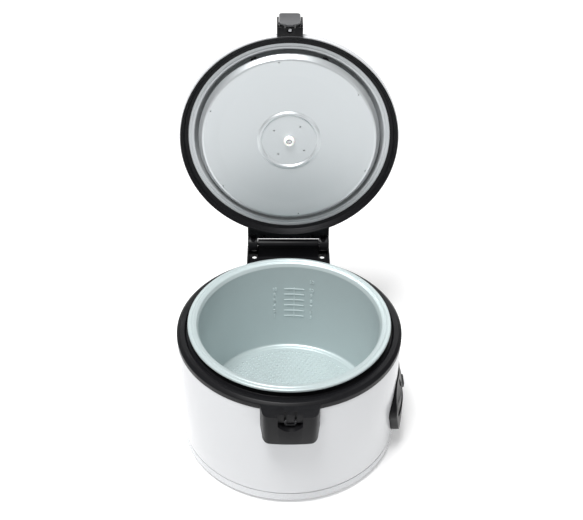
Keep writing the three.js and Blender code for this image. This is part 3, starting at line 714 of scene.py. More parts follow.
def makeLatchHousing():
    low, high = extent("latch_housing")
    housing = {"frontHalf": 23.0, "cornerReach": 7.0, "bottomCorner": 11.0, "notch": 13.3, "notchDepth": 4.5,
               "pocketTop": 147.0, "pocketDepth": 12.0, "slot": 5.5, "slotWidth": 2.6, "edge": 0.8}
    half, h, reach = high.x, housing["frontHalf"], housing["cornerReach"]
    front = extent("outer_shell")[0].y - 18.4
    corner, side = front + 1.3, front + 8.5
    back = -110
    plan = [Vector((-half, back)), Vector((-half, back - 10))]
    plan += bowed((-h - reach, side), (-h - reach + 1, corner + 1.2), (-h, corner), 10)
    plan += bowed((-h, corner), (0, front - 1.3), (h, corner), 16)
    plan += bowed((h, corner), (h + reach - 1, corner + 1.2), (h + reach, side), 10)
    plan += [Vector((h + reach, side)), Vector((half, back - 10)), Vector((half, back))]
    block = pushed(plan, low.z, high.z)
    face = roundedOutline(-half, half, low.z, high.z, housing["bottomCorner"], 0, 12)
    common(block, pushed(face, low.y - 5, back + 5, "Y"))
    cut(block, bodyCore(0.3, 100, 170))
    softened(block, housing["edge"], 4)

    n, notchBack = housing["notch"], front + housing["notchDepth"]
    lip = high.z - 13.4

    def arcedOutline(top):  # square at the top, bowed at the bottom
        outline = bowed((-n, lip), (0, lip - 14.4), (n, lip), 24)
        return outline + [Vector((n, lip)), Vector((n, top)), Vector((-n, top))]

    notch = pushed(arcedOutline(high.z + 8), low.y - 5, notchBack, "Y")
    pocket = pushed(arcedOutline(housing["pocketTop"]), low.y - 5, front + housing["pocketDepth"], "Y")
    tools = [
        notch, pocket,
        slab(-28, -16.5, -141, -120, low.z + 3.2, high.z - 3),
        slab(16.5, 28, -141, -120, low.z + 3.2, high.z - 3),
    ]
    for side in (-1, 1):
        x = side * housing["slot"]
        w = housing["slotWidth"] / 2
        tools.append(slab(x - w, x + w, low.y - 4, -138.6, high.z - 12, high.z + 2))
    cut(block, *tools)
    softened(block, 0.28, 2, 50)
    finished(block, "latch_housing_detailed", "black_plastic", ["latch_housing"])

    loopLow, loopHigh = extent("latch_keeper")
    loop = {"wire": 2.0, "corner": 3.0}
    w = loop["wire"]
    outer = roundedOutline(loopLow.x, loopHigh.x, loopLow.z, loopHigh.z, loop["corner"], 0.8)
    hole = roundedOutline(loopLow.x + w, loopHigh.x - w, loopLow.z + w, loopHigh.z - 1.4, 1.5, 0.5)
    keeper = pushed(outer, loopLow.y, loopHigh.y, "Y")
    cut(keeper, pushed(hole, loopLow.y - 2, loopHigh.y + 2, "Y"))
    softened(keeper, 0.5, 3)
    finished(keeper, "latch_keeper_loop", "grey_plastic", ["latch_keeper"])


def makeHingeBase():
    low, high = extent("hinge_base")
    axisY, axisZ = hingePoint.y / mm, hingePoint.z / mm
    hinge = {"floor": 4.0, "sheet": 1.5, "knuckle": 38.4, "knuckleRadius": 5.5, "wall": 1.8, "sideTop": 158.2,
             "hole": 3.0, "holeX": 43.0, "holeY": 141.0, "bore": 2.9, "springBore": 4.4}
    half, k = high.x, hinge["knuckle"]
    top = low.z + hinge["floor"]
    body = slab(-half, half, 112, high.y, top - hinge["sheet"], top)
    rear = slab(-half, half, high.y - 2, high.y, low.z, hinge["sideTop"] - 0.7)
    sideOutline = filleted(
        [(118, low.z), (high.y - 0.2, low.z), (high.y - 0.2, hinge["sideTop"], 5), (118, hinge["sideTop"])], 8
    )
    sides = [pushed(sideOutline, x0, x0 + hinge["wall"], "X") for x0 in (-half, half - hinge["wall"])]
    wall = slab(-k, k, axisY - 4.7, axisY + 4.7, low.z, axisZ)
    barrel = rod(hinge["knuckleRadius"], -k, k, axisY, axisZ, 0.4, 64)
    joined(body, rear, *sides, wall, barrel)
    cut(
        body,
        bodyCore(0.3, 120, 180),
        rod(hinge["bore"], -half - 2, half + 2, axisY, axisZ, 0),
        rod(hinge["springBore"], -30, 30, axisY, axisZ, 0),
        post(hinge["hole"], -hinge["holeX"], hinge["holeY"], 130, 170),
        post(hinge["hole"], hinge["holeX"], hinge["holeY"], 130, 170),
    )
    softened(body, 0.35, 2)
    finished(body, "hinge_base_detailed", "black_plastic", ["hinge_base"])

    pinLow, pinHigh = extent("hinge_pin")
    pin = rod((pinHigh.z - pinLow.z) / 2, pinLow.x, pinHigh.x, axisY, axisZ, 0.5, 40)
    finished(pin, "hinge_pin_rod", "steel", ["hinge_pin"])


def makeLinerAndPlate():
    low, high = extent("inner_liner")
    liner = {"radius": 108.2, "wall": 1.0, "mouth": 20.0, "bend": 4.0}
    r, t = liner["radius"], liner["wall"]
    can = turned([
        (liner["mouth"], low.z), (r + t, low.z, liner["bend"] + t), (r + t, high.z - t, 0.8),
        (high.x, high.z - t, 0.3), (high.x, high.z, 0.3), (r, high.z, 1.8),
        (r, low.z + t, liner["bend"]), (liner["mouth"], low.z + t),
    ], 224)
    legHoles = []
    for side in (-1, 1):
        angle = math.pi + side * math.radians(18)
        legHoles.append(post(8, 62 * math.cos(angle), 62 * math.sin(angle), 15, 25))
    cut(can, *legHoles)
    finished(can, "inner_can", "aluminium", ["inner_liner"])

    plateLow, plateHigh = extent("heating_plate")
    hot = {"bore": 17.0, "grooveInner": 56.6, "grooveOuter": 67.4, "edge": 1.4, "ringRecess": 0.5}
    top, r = plateHigh.z, plateHigh.x
    plate = turned([
        (hot["bore"], plateLow.z), (hot["grooveInner"], plateLow.z), (hot["grooveInner"], top - 3.8, 1),
        (hot["grooveOuter"], top - 3.8, 1), (hot["grooveOuter"], plateLow.z), (r - 5, plateLow.z, 1),
        (r, top - 6.2, 2), (r, top, hot["edge"]), (r - 8, top, 0.4), (r - 8.6, top - hot["ringRecess"], 0.3),
        (r - 10.4, top - hot["ringRecess"], 0.3), (r - 11, top, 0.4), (hot["bore"] + 6, top, 0.4),
        (hot["bore"] + 5, top - 0.6, 0.4), (hot["bore"], top - 0.6, 0.4),
    ], 160)
    finished(plate, "heating_plate_machined", "cast_aluminium", ["heating_plate"])

    cupLow, cupHigh = extent("thermostat_cup")
    r = cupHigh.x
    cup = turned([
        (0, cupHigh.z), (r, cupHigh.z, 1.4), (r, cupLow.z, 0.3), (r - 1, cupLow.z),
        (r - 1, cupHigh.z - 1.2, 0.5), (0, cupHigh.z - 1.2),
    ], 80)
    finished(cup, "thermostat_cap", "aluminium", ["thermostat_cup"])


def makePot():
    low, high = extent("inner_pot")
    pot = {"floor": 35.0, "wall": 104.6, "floorEdge": 97.4, "bend": 6.4, "lip": high.x,
           "dimplePitch": 5.0, "dimpleRings": 18, "dimpleBall": 1.45, "dimpleDepth": 1.2}
    f, w, top, lip = pot["floor"], pot["wall"], high.z, pot["lip"]
    bowl = turned([
        (0, f), (pot["floorEdge"], f, 0.3), (pot["floorEdge"] + 0.5, f - 0.5, 0.3),
        (pot["floorEdge"] + 1.1, f, 0.3), (w, f + 0.4, pot["bend"]), (w, top - 5, 2), (w + 2.2, top - 1, 1.6),
        (110.4, top, 2), (111.5, top, 0.3), (112.2, top - 0.5, 0.3), (112.9, top, 0.3), (lip, top, 1.5),
        (lip, top - 3.4, 1.2), (lip - 1.5, 164, 1), (w + 2, 164, 1), (w + 2, f + 0.2, 7),
        (98, low.z, 3), (0, low.z),
    ], 224)
    rings = pot["dimpleRings"]
    dimpleTree.applied(bowl, "pot_coating", count=1 + 3 * rings * (rings + 1), pitch=pot["dimplePitch"],
                       ballRadius=pot["dimpleBall"], depth=pot["dimpleDepth"], level=f)
    finished(bowl, "pot_bowl", "pot_coating", ["inner_pot"], sharp=24)
    makeWaterScale(pot)


def bentOnWall(shape, radius, middle):  # x runs round the wall from an azimuth, y is the height off it
    for vertex in shape.data.vertices:
        x, y, z = vertex.co
        azimuth = math.radians(middle) + x / radius
        out = radius + 0.02 - y
        vertex.co = (out * math.sin(azimuth), out * math.cos(azimuth), z)
    return shape


def figure(words, size, relief):  # raised figures, upright on the wall, reading from inside
    text = bpy.data.curves.new("figure", "FONT")
    text.body = words
    text.size = size
    text.align_x = "CENTER"
    text.align_y = "CENTER"
    text.extrude = relief / 2
    text.offset = size * 0.025
    text.resolution_u = 3
    carrier = bpy.data.objects.new("figure", text)
    scene.collection.objects.link(carrier)
    bpy.context.view_layer.update()
    mesh = bpy.data.meshes.new_from_object(carrier)
    bpy.data.objects.remove(carrier)
    mesh.transform(Matrix.Rotation(math.pi / 2, 4, "X"))
    shape = bpy.data.objects.new("figure", mesh)
    scene.collection.objects.link(shape)
    return shape


def makeWaterScale(pot):
    scale = {"lowest": 84.9, "pitch": 8.75, "lines": 6, "middle": 4.0, "width": 25.0, "relief": 0.7,
             "line": 1.2, "leftFigures": -9.6, "rightFigures": 16.0, "figure": 6.4, "headFigure": 142.0}
    wall = pot["wall"]
    lines = slab(0, 1, 0, 1, 0, 1)
    scaleTree.applied(lines, "pot_coating", count=scale["lines"], pitch=scale["pitch"], width=scale["width"],
                      lineHeight=scale["line"], relief=scale["relief"] * 2, lowest=scale["lowest"])
    bentOnWall(lines, wall, scale["middle"])
    parts = [lines]
    middle = scale["lowest"] + scale["pitch"] * (scale["lines"] - 1) / 2
    height = scale["pitch"] * (scale["lines"] - 1) / 2 + 2
    upright = slab(-0.5, 0.5, -scale["relief"], scale["relief"], middle - height, middle + height)
    parts.append(bentOnWall(upright, wall, scale["middle"]))
    for i in range(scale["lines"]):
        z = scale["lowest"] + i * scale["pitch"]
        for azimuth, words in ((scale["leftFigures"], 2 * i), (scale["rightFigures"], i + 5)):
            mark = figure(str(words or 1), scale["figure"], scale["relief"] * 2)
            shifted(mark, z=z)
            parts.append(bentOnWall(mark, wall, azimuth))
    head = shifted(figure("10", scale["figure"], scale["relief"] * 2), z=scale["headFigure"])
    parts.append(bentOnWall(head, wall, scale["rightFigures"]))
    # the scale takes the lighter coating finish: painted highlight on the raised marks
    finished(heap(parts), "water_scale", "pot_coating", [], body="pot", finish="scale_marks")


def makeControlPanel():
    low, high = extent("control_panel")
    shellRadius = extent("outer_shell")[1].x
    panel = {"edge": 1.2, "rimWidth": 5.0, "windowHalf": 9.0, "lensHole": 4.3, "insetDepth": 0.7,
             "pinHole": 1.5, "pivotX": 123.0}
    inner = shellRadius + 0.6
    r = high.x
    barrel = turned([
        (inner, low.z - 5), (r - 0.9, low.z - 5), (r, 32, 40), (r - 0.1, 60, 30), (r - 0.8, 72, 20),
        (r - 3.9, 82, 16), (r - 5.8, 90, 20), (r - 7, 98, 20), (r - 7.8, 106, 10),
        (r - 8.2, 111), (inner, 111),
    ], 256, steps=8)

    def panelOutline(inset):  # a shield: widest above the middle
        sides = [
            (-30, 19, 0), (30, 19, 12), (46, 34, 20), (58.6, 69, 16), (37, high.z, 5),
            (-37, high.z, 5), (-58.6, 69, 16), (-46, 34, 20), (-30, 19, 12),
        ]
        centre = Vector((0, 66))
        shrunk = []
        for y, z, radius in sides[1:]:
            spot = Vector((y, z)) - centre
            spot *= 1 - inset / spot.length
            shrunk.append((*(spot + centre), radius))
        return filleted(shrunk, 10)

    plate = pushed(panelOutline(0), 100, 150, "X")
    common(plate, barrel)
    softened(plate, panel["edge"], 4, 40)
    lever = extent("cook_lever")
    pivotZ = (lever[0].z + lever[1].z) / 2
    d = panel["insetDepth"]
    upper = turned([
        (r - 2.6 - d, pivotZ + 9, 0.4), (r + 8, pivotZ + 9), (r + 8, 97), (r - 6.9 - d, 97, 0.4),
        (r - 5.8 - d, 90, 14),
    ], 256)
    inset = pushed(panelOutline(panel["rimWidth"]), 100, 150, "X")
    common(inset, upper)
    middle = turned([
        (r - 1.8, pivotZ - 13, 0.6), (r + 8, pivotZ - 13), (r + 8, pivotZ + 6), (r - 2.4, pivotZ + 6, 0.6),
    ], 256)
    band = pushed(panelOutline(panel["rimWidth"]), 100, 150, "X")
    common(band, middle)
    wh = panel["windowHalf"]
    window = pushed(roundedOutline(-wh, wh, pivotZ - 13, pivotZ + 7, 2, 2), 120, 150, "X")
    lensHoles = []
    for name in ("cook_lamp_lens", "warm_lamp_lens"):
        lensLow, lensHigh = extent(name)
        y, z = (lensLow.y + lensHigh.y) / 2, (lensLow.z + lensHigh.z) / 2
        lensHoles.append(rod(panel["lensHole"], 119, 150, y, z, 0))
    cut(plate, inset, band, window, *lensHoles)
    bridges = []
    for side in (-1, 1):
        inside, outside = sorted((side * 9.6, side * 11.8))
        bridges.append(slab(120, 131.5, inside, outside, pivotZ - 4, pivotZ + 4))
    cheeks = heap(bridges)
    cut(cheeks, crossBar(panel["pinHole"], -20, 20, panel["pivotX"], pivotZ))
    finished(heap([plate, cheeks]), "side_panel", "black_plastic", ["control_panel"])

    for name, slot in (("cook_lamp_lens", "red_lens"), ("warm_lamp_lens", "amber_lens")):
        lensLow, lensHigh = extent(name)
        y, z = (lensLow.y + lensHigh.y) / 2, (lensLow.z + lensHigh.z) / 2
        lensRadius = (lensHigh.z - lensLow.z) / 2
        lens = turned([
            (0, lensLow.x), (lensRadius, lensLow.x), (lensRadius, lensHigh.x - 1.6, 0.5),
            (lensRadius * 0.6, lensHigh.x - 1, 2), (0, lensHigh.x - 0.8),
        ], 40, "X", (0, y, z))
        finished(lens, name + "_domed", slot, [name])


def makeCookLever():
    low, high = extent("cook_lever")
    z = (low.z + high.z) / 2
    lever = {"pivotX": 123.0, "hub": 3.0, "neck": 5.0, "pinHole": 1.5,
             "ribs": 5, "ribPitch": 1.5, "ribDepth": 0.45, "ribHalf": 0.28}
    knobX = lever["pivotX"] + 4
    knob = pushed(roundedOutline(knobX, high.x, low.z, high.z, 2.2, 2.2, 6), low.y, high.y, "Y")
    softened(knob, 0.8, 3, 50)
    neck = slab(lever["pivotX"], knobX + 2, -lever["neck"], lever["neck"], z - 2, z + 2)
    hub = crossBar(lever["hub"], -7, 7, lever["pivotX"], z, 40)
    joined(knob, neck, hub)
    bore = crossBar(lever["pinHole"], -20, 20, lever["pivotX"], z)
    grooves = []
    for i in range(lever["ribs"]):
        across = z + (i - (lever["ribs"] - 1) / 2) * lever["ribPitch"]
        bottom, top = across - lever["ribHalf"], across + lever["ribHalf"]
        grooves.append(slab(high.x - lever["ribDepth"], high.x + 2, low.y + 1.2, high.y - 1.2, bottom, top))
    cut(knob, bore, *grooves)
    finished(knob, "cook_lever_knob", "black_plastic", ["cook_lever"])


def makePowerInlet():
    low, high = extent("power_inlet")
    shellRadius = extent("outer_shell")[1].x
    inlet = {"socketHalf": 13.5, "socketLow": 30.0, "socketHigh": 46.0, "bladePitch": 7.0}
    flange = pushed(roundedOutline(low.x, high.x, low.z, high.z, 5, 5), shellRadius + 0.3, high.y, "Y")
    softened(flange, 0.7, 3)
    neck = slab(-17.4, 17.4, low.y, shellRadius + 1, low.z + 4.6, high.z - 4.6)
    joined(flange, neck)
    socket = roundedOutline(
        -inlet["socketHalf"], inlet["socketHalf"], inlet["socketLow"], inlet["socketHigh"], 3.5, 1.5
    )
    mouth = pushed(socket, low.y + 2.5, high.y + 10, "Y")
    ring = roundedOutline(-15.5, 15.5, 28, 48, 4.5, 2.5)
    cut(flange, mouth, pushed(ring, high.y - 0.7, high.y + 5, "Y"))
    finished(flange, "power_socket", "black_plastic", ["power_inlet"])
    blades = []
    for i in range(3):
        x = (i - 1) * inlet["bladePitch"]
        base = 40 if i == 1 else 34
        outline = roundedOutline(x - 1, x + 1, base, base + 4, 0.4, 0.4, 3)
        blade = pushed(outline, low.y + 2.2, low.y + 14, "Y")
        blades.append(softened(blade, 0.4, 2))
    finished(heap(blades), "socket_blades", "steel", [], body="base")


def makeLidShell():
    low, high = extent("lid_shell")
    dome = {"top": high.z, "radius": high.x, "vent": 14.0, "ventY": 45.0}
    r, z = dome["radius"], dome["top"]
    outer = [(0, z, 0), (58, z - 4, 60), (98, z - 12.4, 40), (118, z - 20, 22), (r - 2.8, z - 26.4, 10),
             (r, z - 33.6, 6), (r, low.z, 0.4)]
    inner = [(r - 1.7, low.z, 0.3), (r - 1.7, z - 34, 5), (r - 4.6, z - 27.4, 9), (117.2, z - 21.8, 20),
             (97.6, z - 14.4, 40), (57.8, z - 6, 60), (0, z - 2, 0)]
    shell = turned(outer + inner, 256, steps=8)
    cut(shell, post(dome["vent"], 0, dome["ventY"], z - 20, z + 5, 0, 64))
    finished(shell, "lid_dome", "white_plastic", ["lid_shell"])


def makeLidRing():
    low, high = extent("lid_ring")
    bandZ = extent("lid_inner_pan")[0].z
    ring = {"lip": high.x - 1.4, "inner": 119.3, "wall": 127.4}
    r = ring["lip"]
    shape = turned([
        (127.2, low.z, 0.4), (128.9, low.z, 0.5), (r, low.z + 0.9, 0.4), (r, low.z + 2.1, 0.2),
        (ring["wall"], low.z + 2.1, 0.2), (ring["wall"], high.z), (125.4, high.z), (125.4, bandZ - 0.3),
        (ring["inner"], bandZ - 0.3, 0.2), (ring["inner"], bandZ - 1.7, 0.5), (123.6, low.z + 6.4, 1.2),
        (125.6, low.z + 2.2, 0.8), (126.3, low.z + 2.2, 0.4),
    ], 256)
    finished(shape, "lid_black_ring", "black_plastic", ["lid_ring"])


def makeLidPan():
    low, high = extent("lid_inner_pan")
    pan = {"sheet": 1.0, "stud": 3.3, "recess": 107.0, "lip": 112.6, "vent": 9.0, "ventY": 45.0}
    face, floor = low.z, high.z - pan["sheet"]
    shape = turned([
        (pan["stud"], high.z), (pan["recess"] + 1, high.z, 2), (pan["lip"] + 1, face + 1, 2),
        (high.x, face + 1), (high.x, face), (116.6, face, 0.3), (116.2, face + 0.45, 0.2),
        (115.4, face + 0.45, 0.2), (115, face, 0.3),
        (pan["lip"], face, 1.6), (pan["recess"], floor, 1.5), (pan["stud"], floor),
    ], 224)
    cut(shape, post(pan["vent"], 0, pan["ventY"], 160, 190))
    finished(shape, "lid_pan", "aluminium", ["lid_inner_pan"], finish="lid_pan_aluminium")

    for side, name in ((-1, "plate_clip_left"), (1, "plate_clip_right")):
        clip = slab(-3.4, 3.4, -106.2, -102.4, 172, 179.7)
        softened(clip, 0.8, 3)
        hook = softened(slab(-1.6, 1.6, -106.6, -104.2, 171.9, 173.4), 0.4, 2)
        shifted(clip, turn=side * 23)
        shifted(hook, turn=side * 23)
        finished(heap([clip, hook]), name + "_moulded", "black_plastic", [name])


def makeInnerPlate():
    low, high = extent("inner_plate")
    plate = {"centreHole": 5.6, "bead": 34.5, "cone": 82.5, "outerAngle": -97.0, "innerAngle": 36.0,
             "outerHoles": 6, "outerRing": 99.4, "innerHoles": 4, "innerRing": 22.0, "hole": 0.95}
    face = low.z + 2.8
    b = plate["bead"]
    shape = turned([
        (plate["centreHole"], face + 1.2), (b + 2.2, face + 1.2, 2), (plate["cone"], face - 0.2, 3),
        (101.2, face - 1.5, 3), (103.9, face + 0.7, 2), (106.1, high.z, 1), (107.6, high.z, 0.3),
        (106.9, face + 2.2, 1.2), (104.9, face, 2.2), (103, face - 2.1, 2.4), (101, face - 2.8, 3),
        (plate["cone"], face - 1.5, 2), (b + 3.2, face - 0.05, 1.2), (b + 1.2, face - 1.7, 1.1),
        (b - 0.9, face - 1.9, 1.1), (b - 2.6, face, 1.2), (plate["centreHole"], face),
    ], 224)
    for holes in ("outer", "inner"):
        holeTree.applied(shape, "lid_aluminium", count=plate[holes + "Holes"], ring=plate[holes + "Ring"],
                         firstAngle=plate[holes + "Angle"], holeRadius=plate["hole"], level=face, depth=14.0)
    finished(shape, "steam_plate", "aluminium", ["inner_plate"], finish="lid_aluminium", sharp=50)

    grommetLow, grommetHigh = extent("plate_grommet")
    z0, z1 = grommetLow.z, grommetHigh.z
    grommet = turned([
        (3.4, z0, 0.4), (5.2, z0, 1.4), (6.6, z0 + 2.4, 1.6), (6.6, 164.5, 0.3), (5.3, 164.5), (5.3, 166.3),
        (7, 166.3, 0.3), (6.2, z1, 0.4), (3.4, z1, 0.3),
    ], 64)
    finished(grommet, "plate_grommet_moulded", "silicone", ["plate_grommet"])

    studLow, studHigh = extent("plate_stud")
    stud = turned([
        (0, studLow.z + 0.5), (1.3, studLow.z + 0.4, 0.4), (2.6, studLow.z, 0.6), (3, studLow.z + 1.2, 0.4),
        (3, 178.5), (8, 178.5, 0.3), (8, 179.9, 0.3), (3, 179.9), (3, studHigh.z, 0.4), (0, studHigh.z),
    ], 48)
    finished(stud, "plate_stud_turned", "steel", ["plate_stud"])


def makeSteamVent():
    tubeLow, tubeHigh = extent("steam_vent_tube")
    y = (tubeLow.y + tubeHigh.y) / 2
    tube = turned([
        (7, tubeLow.z, 0.3), (12.4, tubeLow.z, 0.3), (12.4, tubeLow.z + 1.5, 0.3),
        (8.6, tubeLow.z + 1.5, 0.5),
        (8.6, tubeHigh.z, 0.4), (7, tubeHigh.z, 0.4),
    ], 64, centre=(0, y, 0))
    finished(tube, "vent_tube", "black_plastic", ["steam_vent_tube"])

    low, high = extent("steam_vent_cap")
    vent = {"radius": high.x, "slots": 3, "slotPitch": 6.0, "slotHalf": 1.1, "slotReach": 6.0}
    r = vent["radius"]
    cap = turned([
        (0, high.z - 0.5), (9, high.z - 0.5, 0.4), (9.8, high.z, 0.6), (r - 1.4, high.z, 1.4),
        (r, high.z - 2.4, 1.4),
        (r, high.z - 6.2, 0.4), (r - 1.4, high.z - 6.2, 0.3), (r - 1.4, high.z - 3.2, 0.8),
        (10.6, high.z - 3.2, 0.5), (10.6, low.z, 0.4), (9.2, low.z, 0.4), (9.2, high.z - 2, 0.5),
        (0, high.z - 2),
    ], 128, centre=(0, y, 0))
    half, reach = vent["slotHalf"], vent["slotReach"]
    slotOutline = roundedOutline(-half, half, y - reach, y + reach, 1, 1, 4)
    slots = pushed(slotOutline, high.z - 8, high.z + 4)
    rowTree.applied(slots, "black_plastic", count=vent["slots"], pitch=vent["slotPitch"])
    cut(cap, slots)
    finished(cap, "vent_cap_moulded", "black_plastic", ["steam_vent_cap"])


def makeLidBracket():
    high = extent("hinge_lid_bracket")[1]
    axisY, axisZ = hingePoint.y / mm, hingePoint.z / mm
    bracket = {"half": high.x, "ear": 38.9, "earRadius": 9.8, "face": extent("lid_inner_pan")[0].z - 0.6,
               "top": 178.4, "screwX": 43.9, "screwY": 136.6, "dotX": 30.5, "dotY": 135.4, "bore": 2.9}
    half, ear, face, top = bracket["half"], bracket["ear"], bracket["face"], bracket["top"]
    body = slab(-half, half, 112, 139.2, face, top)
    ears = []
    for x0, x1 in ((-half, -ear), (ear, half)):
        ears.append(rod(bracket["earRadius"], x0, x1, axisY, axisZ, 0.5, 96))
        ears.append(slab(x0, x1, 118, axisY, face, top))
    joined(body, *ears)
    cut(body, bodyCore(0.2, 150, 190), rod(bracket["bore"], -60, 60, axisY, axisZ, 0))
    softened(body, 0.6, 3)
    recesses = []
    for side in (-1, 1):
        recesses.append(post(3.4, side * bracket["screwX"], bracket["screwY"], 160, 174.2))
        recesses.append(post(2.4, side * bracket["dotX"], bracket["dotY"], 160, 172.4, 0, 32))
    cut(body, *recesses)
    finished(body, "lid_hinge_bracket", "black_plastic", ["hinge_lid_bracket"])

    screwLow, screwHigh = extent("hinge_screw_right")
    screw = screwShape((screwHigh.x - screwLow.x) / 2, screwLow.z, screwHigh.z - 0.2, screwHigh.z, up=False)
    rowTree.applied(screw, "steel", count=2, pitch=2 * bracket["screwX"])
    shifted(screw, y=bracket["screwY"])
    # the hinge screws take the near-black steel: painted shade of their recesses
    finished(screw, "hinge_screws", "steel", ["hinge_screw_left", "hinge_screw_right"],
             finish="recess_shaded_steel")


def makeLatch():
    low, high = extent("latch_bracket")
    leverLow, leverHigh = extent("latch_lever")
    latch = {"half": high.x, "lever": leverHigh.x, "pinY": -138.2, "pinZ": 180.0, "screwY": -136.6,
             "corner": 4.0, "cheekTop": 192.0, "edge": 0.5, "bore": 1.7, "springHole": 2.6, "prongX": 5.5}
    half, lever = latch["half"], latch["lever"]
    top = latch["cheekTop"]
    cheek = filleted([
        (-120, low.z), (low.y, low.z + 2.5, 1.5), (low.y, top - 5, 1), (low.y + 3.9, top, 1), (-120, top),
    ], 4)
    t = half - lever - 0.4
    cheeks = [pushed(cheek, x0, x0 + t, "X") for x0 in (-half, lever + 0.4)]
    floor = slab(-half, half, -140, -120, low.z, low.z + 2.4)
    back = slab(-half, half, -133.4, -120, low.z, 188)
    body = joined(floor, back, *cheeks)
    cut(
        body,
        bodyCore(0.2, 150, 215),
        rod(latch["bore"], -20, 20, latch["pinY"], latch["pinZ"], 0, 32),
        crossBar(latch["springHole"], -135.4, -130, 0, 186, 32),
    )
    softened(body, latch["edge"], 3)
    cut(body, post(3.2, 0, latch["screwY"], 158, 165, 0, 40))
    finished(body, "latch_bracket_moulded", "black_plastic", ["latch_bracket"])

    c = latch["corner"]
    front = bowed((-lever, leverLow.z + 16.1), (0, leverLow.z + 5.1), (lever, leverLow.z + 16.1), 20)
    front += filleted([(lever, leverLow.z + 16.1), (lever, leverHigh.z, c), (-lever, leverHigh.z, c),
                       (-lever, leverLow.z + 16.1)], 8)[:-1]
    face = pushed(front, leverLow.y, -141, "Y")
    softened(face, 0.7, 3, 50)
    inner = lever - 0.3
    hub = rod(3.4, -inner, inner, latch["pinY"], latch["pinZ"], 0.3, 48)
    web = slab(-inner, inner, -141.5, latch["pinY"], latch["pinZ"] - 3.2, latch["pinZ"] + 3.2)
    prongs = []
    for side in (-1, 1):
        x = side * latch["prongX"]
        outline = filleted([
            (-143.3, leverLow.z, 0.5), (-140.2, leverLow.z, 0.4), (-140.2, leverLow.z + 1.5, 0.4),
            (-141.2, leverLow.z + 1.9, 0.3), (-141.2, leverLow.z + 14), (-143.3, leverLow.z + 14),
        ], 4)
        prongs.append(pushed(outline, x - 0.8, x + 0.8, "X"))
    finished(heap(prongs), "latch_prongs", "black_plastic", [], body="latch")
    joined(face, hub, web)
    cut(face, rod(latch["bore"], -20, 20, latch["pinY"], latch["pinZ"], 0, 32))
    finished(face, "latch_lever_moulded", "grey_plastic", ["latch_lever"])

    pinLow, pinHigh = extent("latch_pin")
    pin = rod((pinHigh.z - pinLow.z) / 2, pinLow.x, pinHigh.x, latch["pinY"], latch["pinZ"], 0.3, 32)
    finished(pin, "latch_pin_rod", "steel", ["latch_pin"])

    screwLow, screwHigh = extent("latch_screw")
    screw = screwShape((screwHigh.x - screwLow.x) / 2, screwLow.z, screwLow.z + 1.5, screwHigh.z, up=False)
    shifted(screw, y=latch["screwY"])
    finished(screw, "latch_screw_cross", "steel", ["latch_screw"])


def dressCarriedNodes():  # the inside pieces keep their shape and get their finish
    slots = {
        "steel": ("hinge_spring_left", "hinge_spring_right", "heater_element", "thermostat_sleeve",
                  "thermostat_spring", "arm_pivot_pin", "arm_bracket", "lever_pin", "lever_arm",
                  "latch_spring"),
        "ceramic": ("micro_switch", "terminal_block", "thermal_fuse", "cook_lamp", "warm_lamp"),
        "ferrite": ("thermostat_ferrite", "magnet_plunger"),
        "mica": ("keep_warm_band",),
    }
    for slot, names in slots.items():
        for name in names:
            carried = frame["nodes"][name]
            carried.data.materials.clear()
            carried.data.materials.append(finishes[slot])


makeShell()
makeBasePan()
makeRim()
makeLatchHousing()
makeHingeBase()
makePowerInlet()
makeControlPanel()
makeCookLever()
print("body made")
makeLinerAndPlate()
makePot()
print("pot made")
makeLidShell()
makeLidRing()
makeLidPan()
makeInnerPlate()
makeSteamVent()
makeLidBracket()
makeLatch()
dressCarriedNodes()
print("lid made;", len(madePieces), "pieces")


def makeFloor():
    floor = {"size": 9.0, "level": cadBox[0].z}
    bm = bmesh.new()
    bmesh.ops.create_grid(bm, x_segments=8, y_segments=8, size=floor["size"])
    mesh = bpy.data.meshes.new("floor")
    bm.to_mesh(mesh)
    bm.free()
    sheet = bpy.data.objects.new("floor", mesh)
    sheet.location.z = floor["level"] - 0.0003
    scene.collection.objects.link(sheet)
    pale = Finish("pale_floor", (0.92, 0.92, 0.92), 0.7, Emission_Color=(1, 1, 1, 1), Emission_Strength=0.18)
    pale.varyRoughness(pale.noise(4), 0.65, 0.75)
    mesh.materials.append(pale.material)


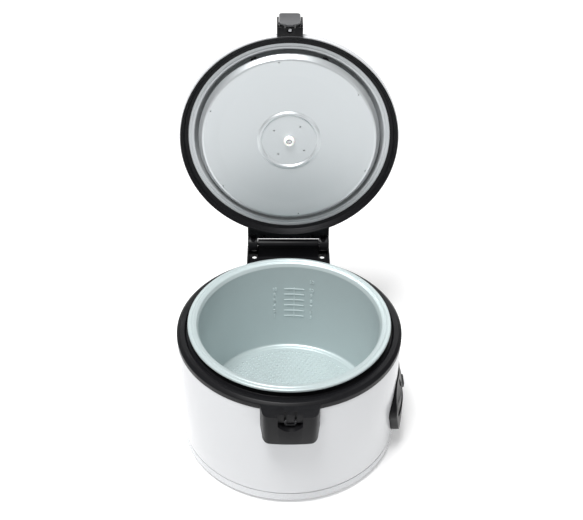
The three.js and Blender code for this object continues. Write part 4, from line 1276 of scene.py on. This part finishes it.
def makeLight(name, place, aim, size, power, colour=(1, 1, 1)):
    lamp = bpy.data.lights.new(name, "AREA")
    lamp.shape = "RECTANGLE"
    lamp.size, lamp.size_y = size
    lamp.energy = power
    lamp.color = colour
    carrier = bpy.data.objects.new(name, lamp)
    carrier.location = place
    carrier.rotation_euler = (Vector(aim) - Vector(place)).to_track_quat("-Z", "Y").to_euler()
    scene.collection.objects.link(carrier)


def makeStudio():
    world = bpy.data.worlds.new("studio")
    scene.world = world
    world.use_nodes = True
    world.node_tree.nodes["Background"].inputs["Color"].default_value = (1, 1, 1, 1)
    world.node_tree.nodes["Background"].inputs["Strength"].default_value = 0.27
    scene.view_settings.view_transform = "Standard"
    makeLight("key", (-1.3, -0.3, 1.9), (0, 0, 0.15), (1.4, 1.2), 1.5)
    makeLight("overhead", (-0.38, -0.5, 2.3), (0, 0, 0.1), (0.8, 0.8), 64)
    makeLight("fill", (1.7, -0.9, 1.2), (0, 0, 0.15), (1.0, 1.0), 4)
    makeLight("back", (0.2, 1.7, 1.5), (0, 0.1, 0.25), (1.6, 0.6), 10)


def makeCamera():
    view = {"place": (-0.01335, -0.8926, 0.9286), "pitch": 0.6478, "yaw": 0.0138, "roll": 0.0092,
            "lens": 62.76, "shift": 0.00435}
    pitch, yaw, roll = view["pitch"], view["yaw"], view["roll"]
    ahead = Vector((math.sin(yaw) * math.cos(pitch), math.cos(yaw) * math.cos(pitch), -math.sin(pitch)))
    level = Vector((math.cos(yaw), -math.sin(yaw), 0))
    upright = level.cross(ahead)
    right = math.cos(roll) * level + math.sin(roll) * upright
    up = -math.sin(roll) * level + math.cos(roll) * upright
    lens = bpy.data.cameras.new("camera")
    lens.lens = view["lens"]
    lens.sensor_width = 36
    lens.shift_x = view["shift"]
    lens.clip_start = 0.05
    lens.clip_end = 50
    camera = bpy.data.objects.new("camera", lens)
    turn = Matrix((right, up, -ahead)).transposed().to_4x4()
    camera.matrix_world = Matrix.Translation(view["place"]) @ turn
    scene.collection.objects.link(camera)
    scene.camera = camera


makeFloor()
makeStudio()
makeCamera()
print("studio ready")
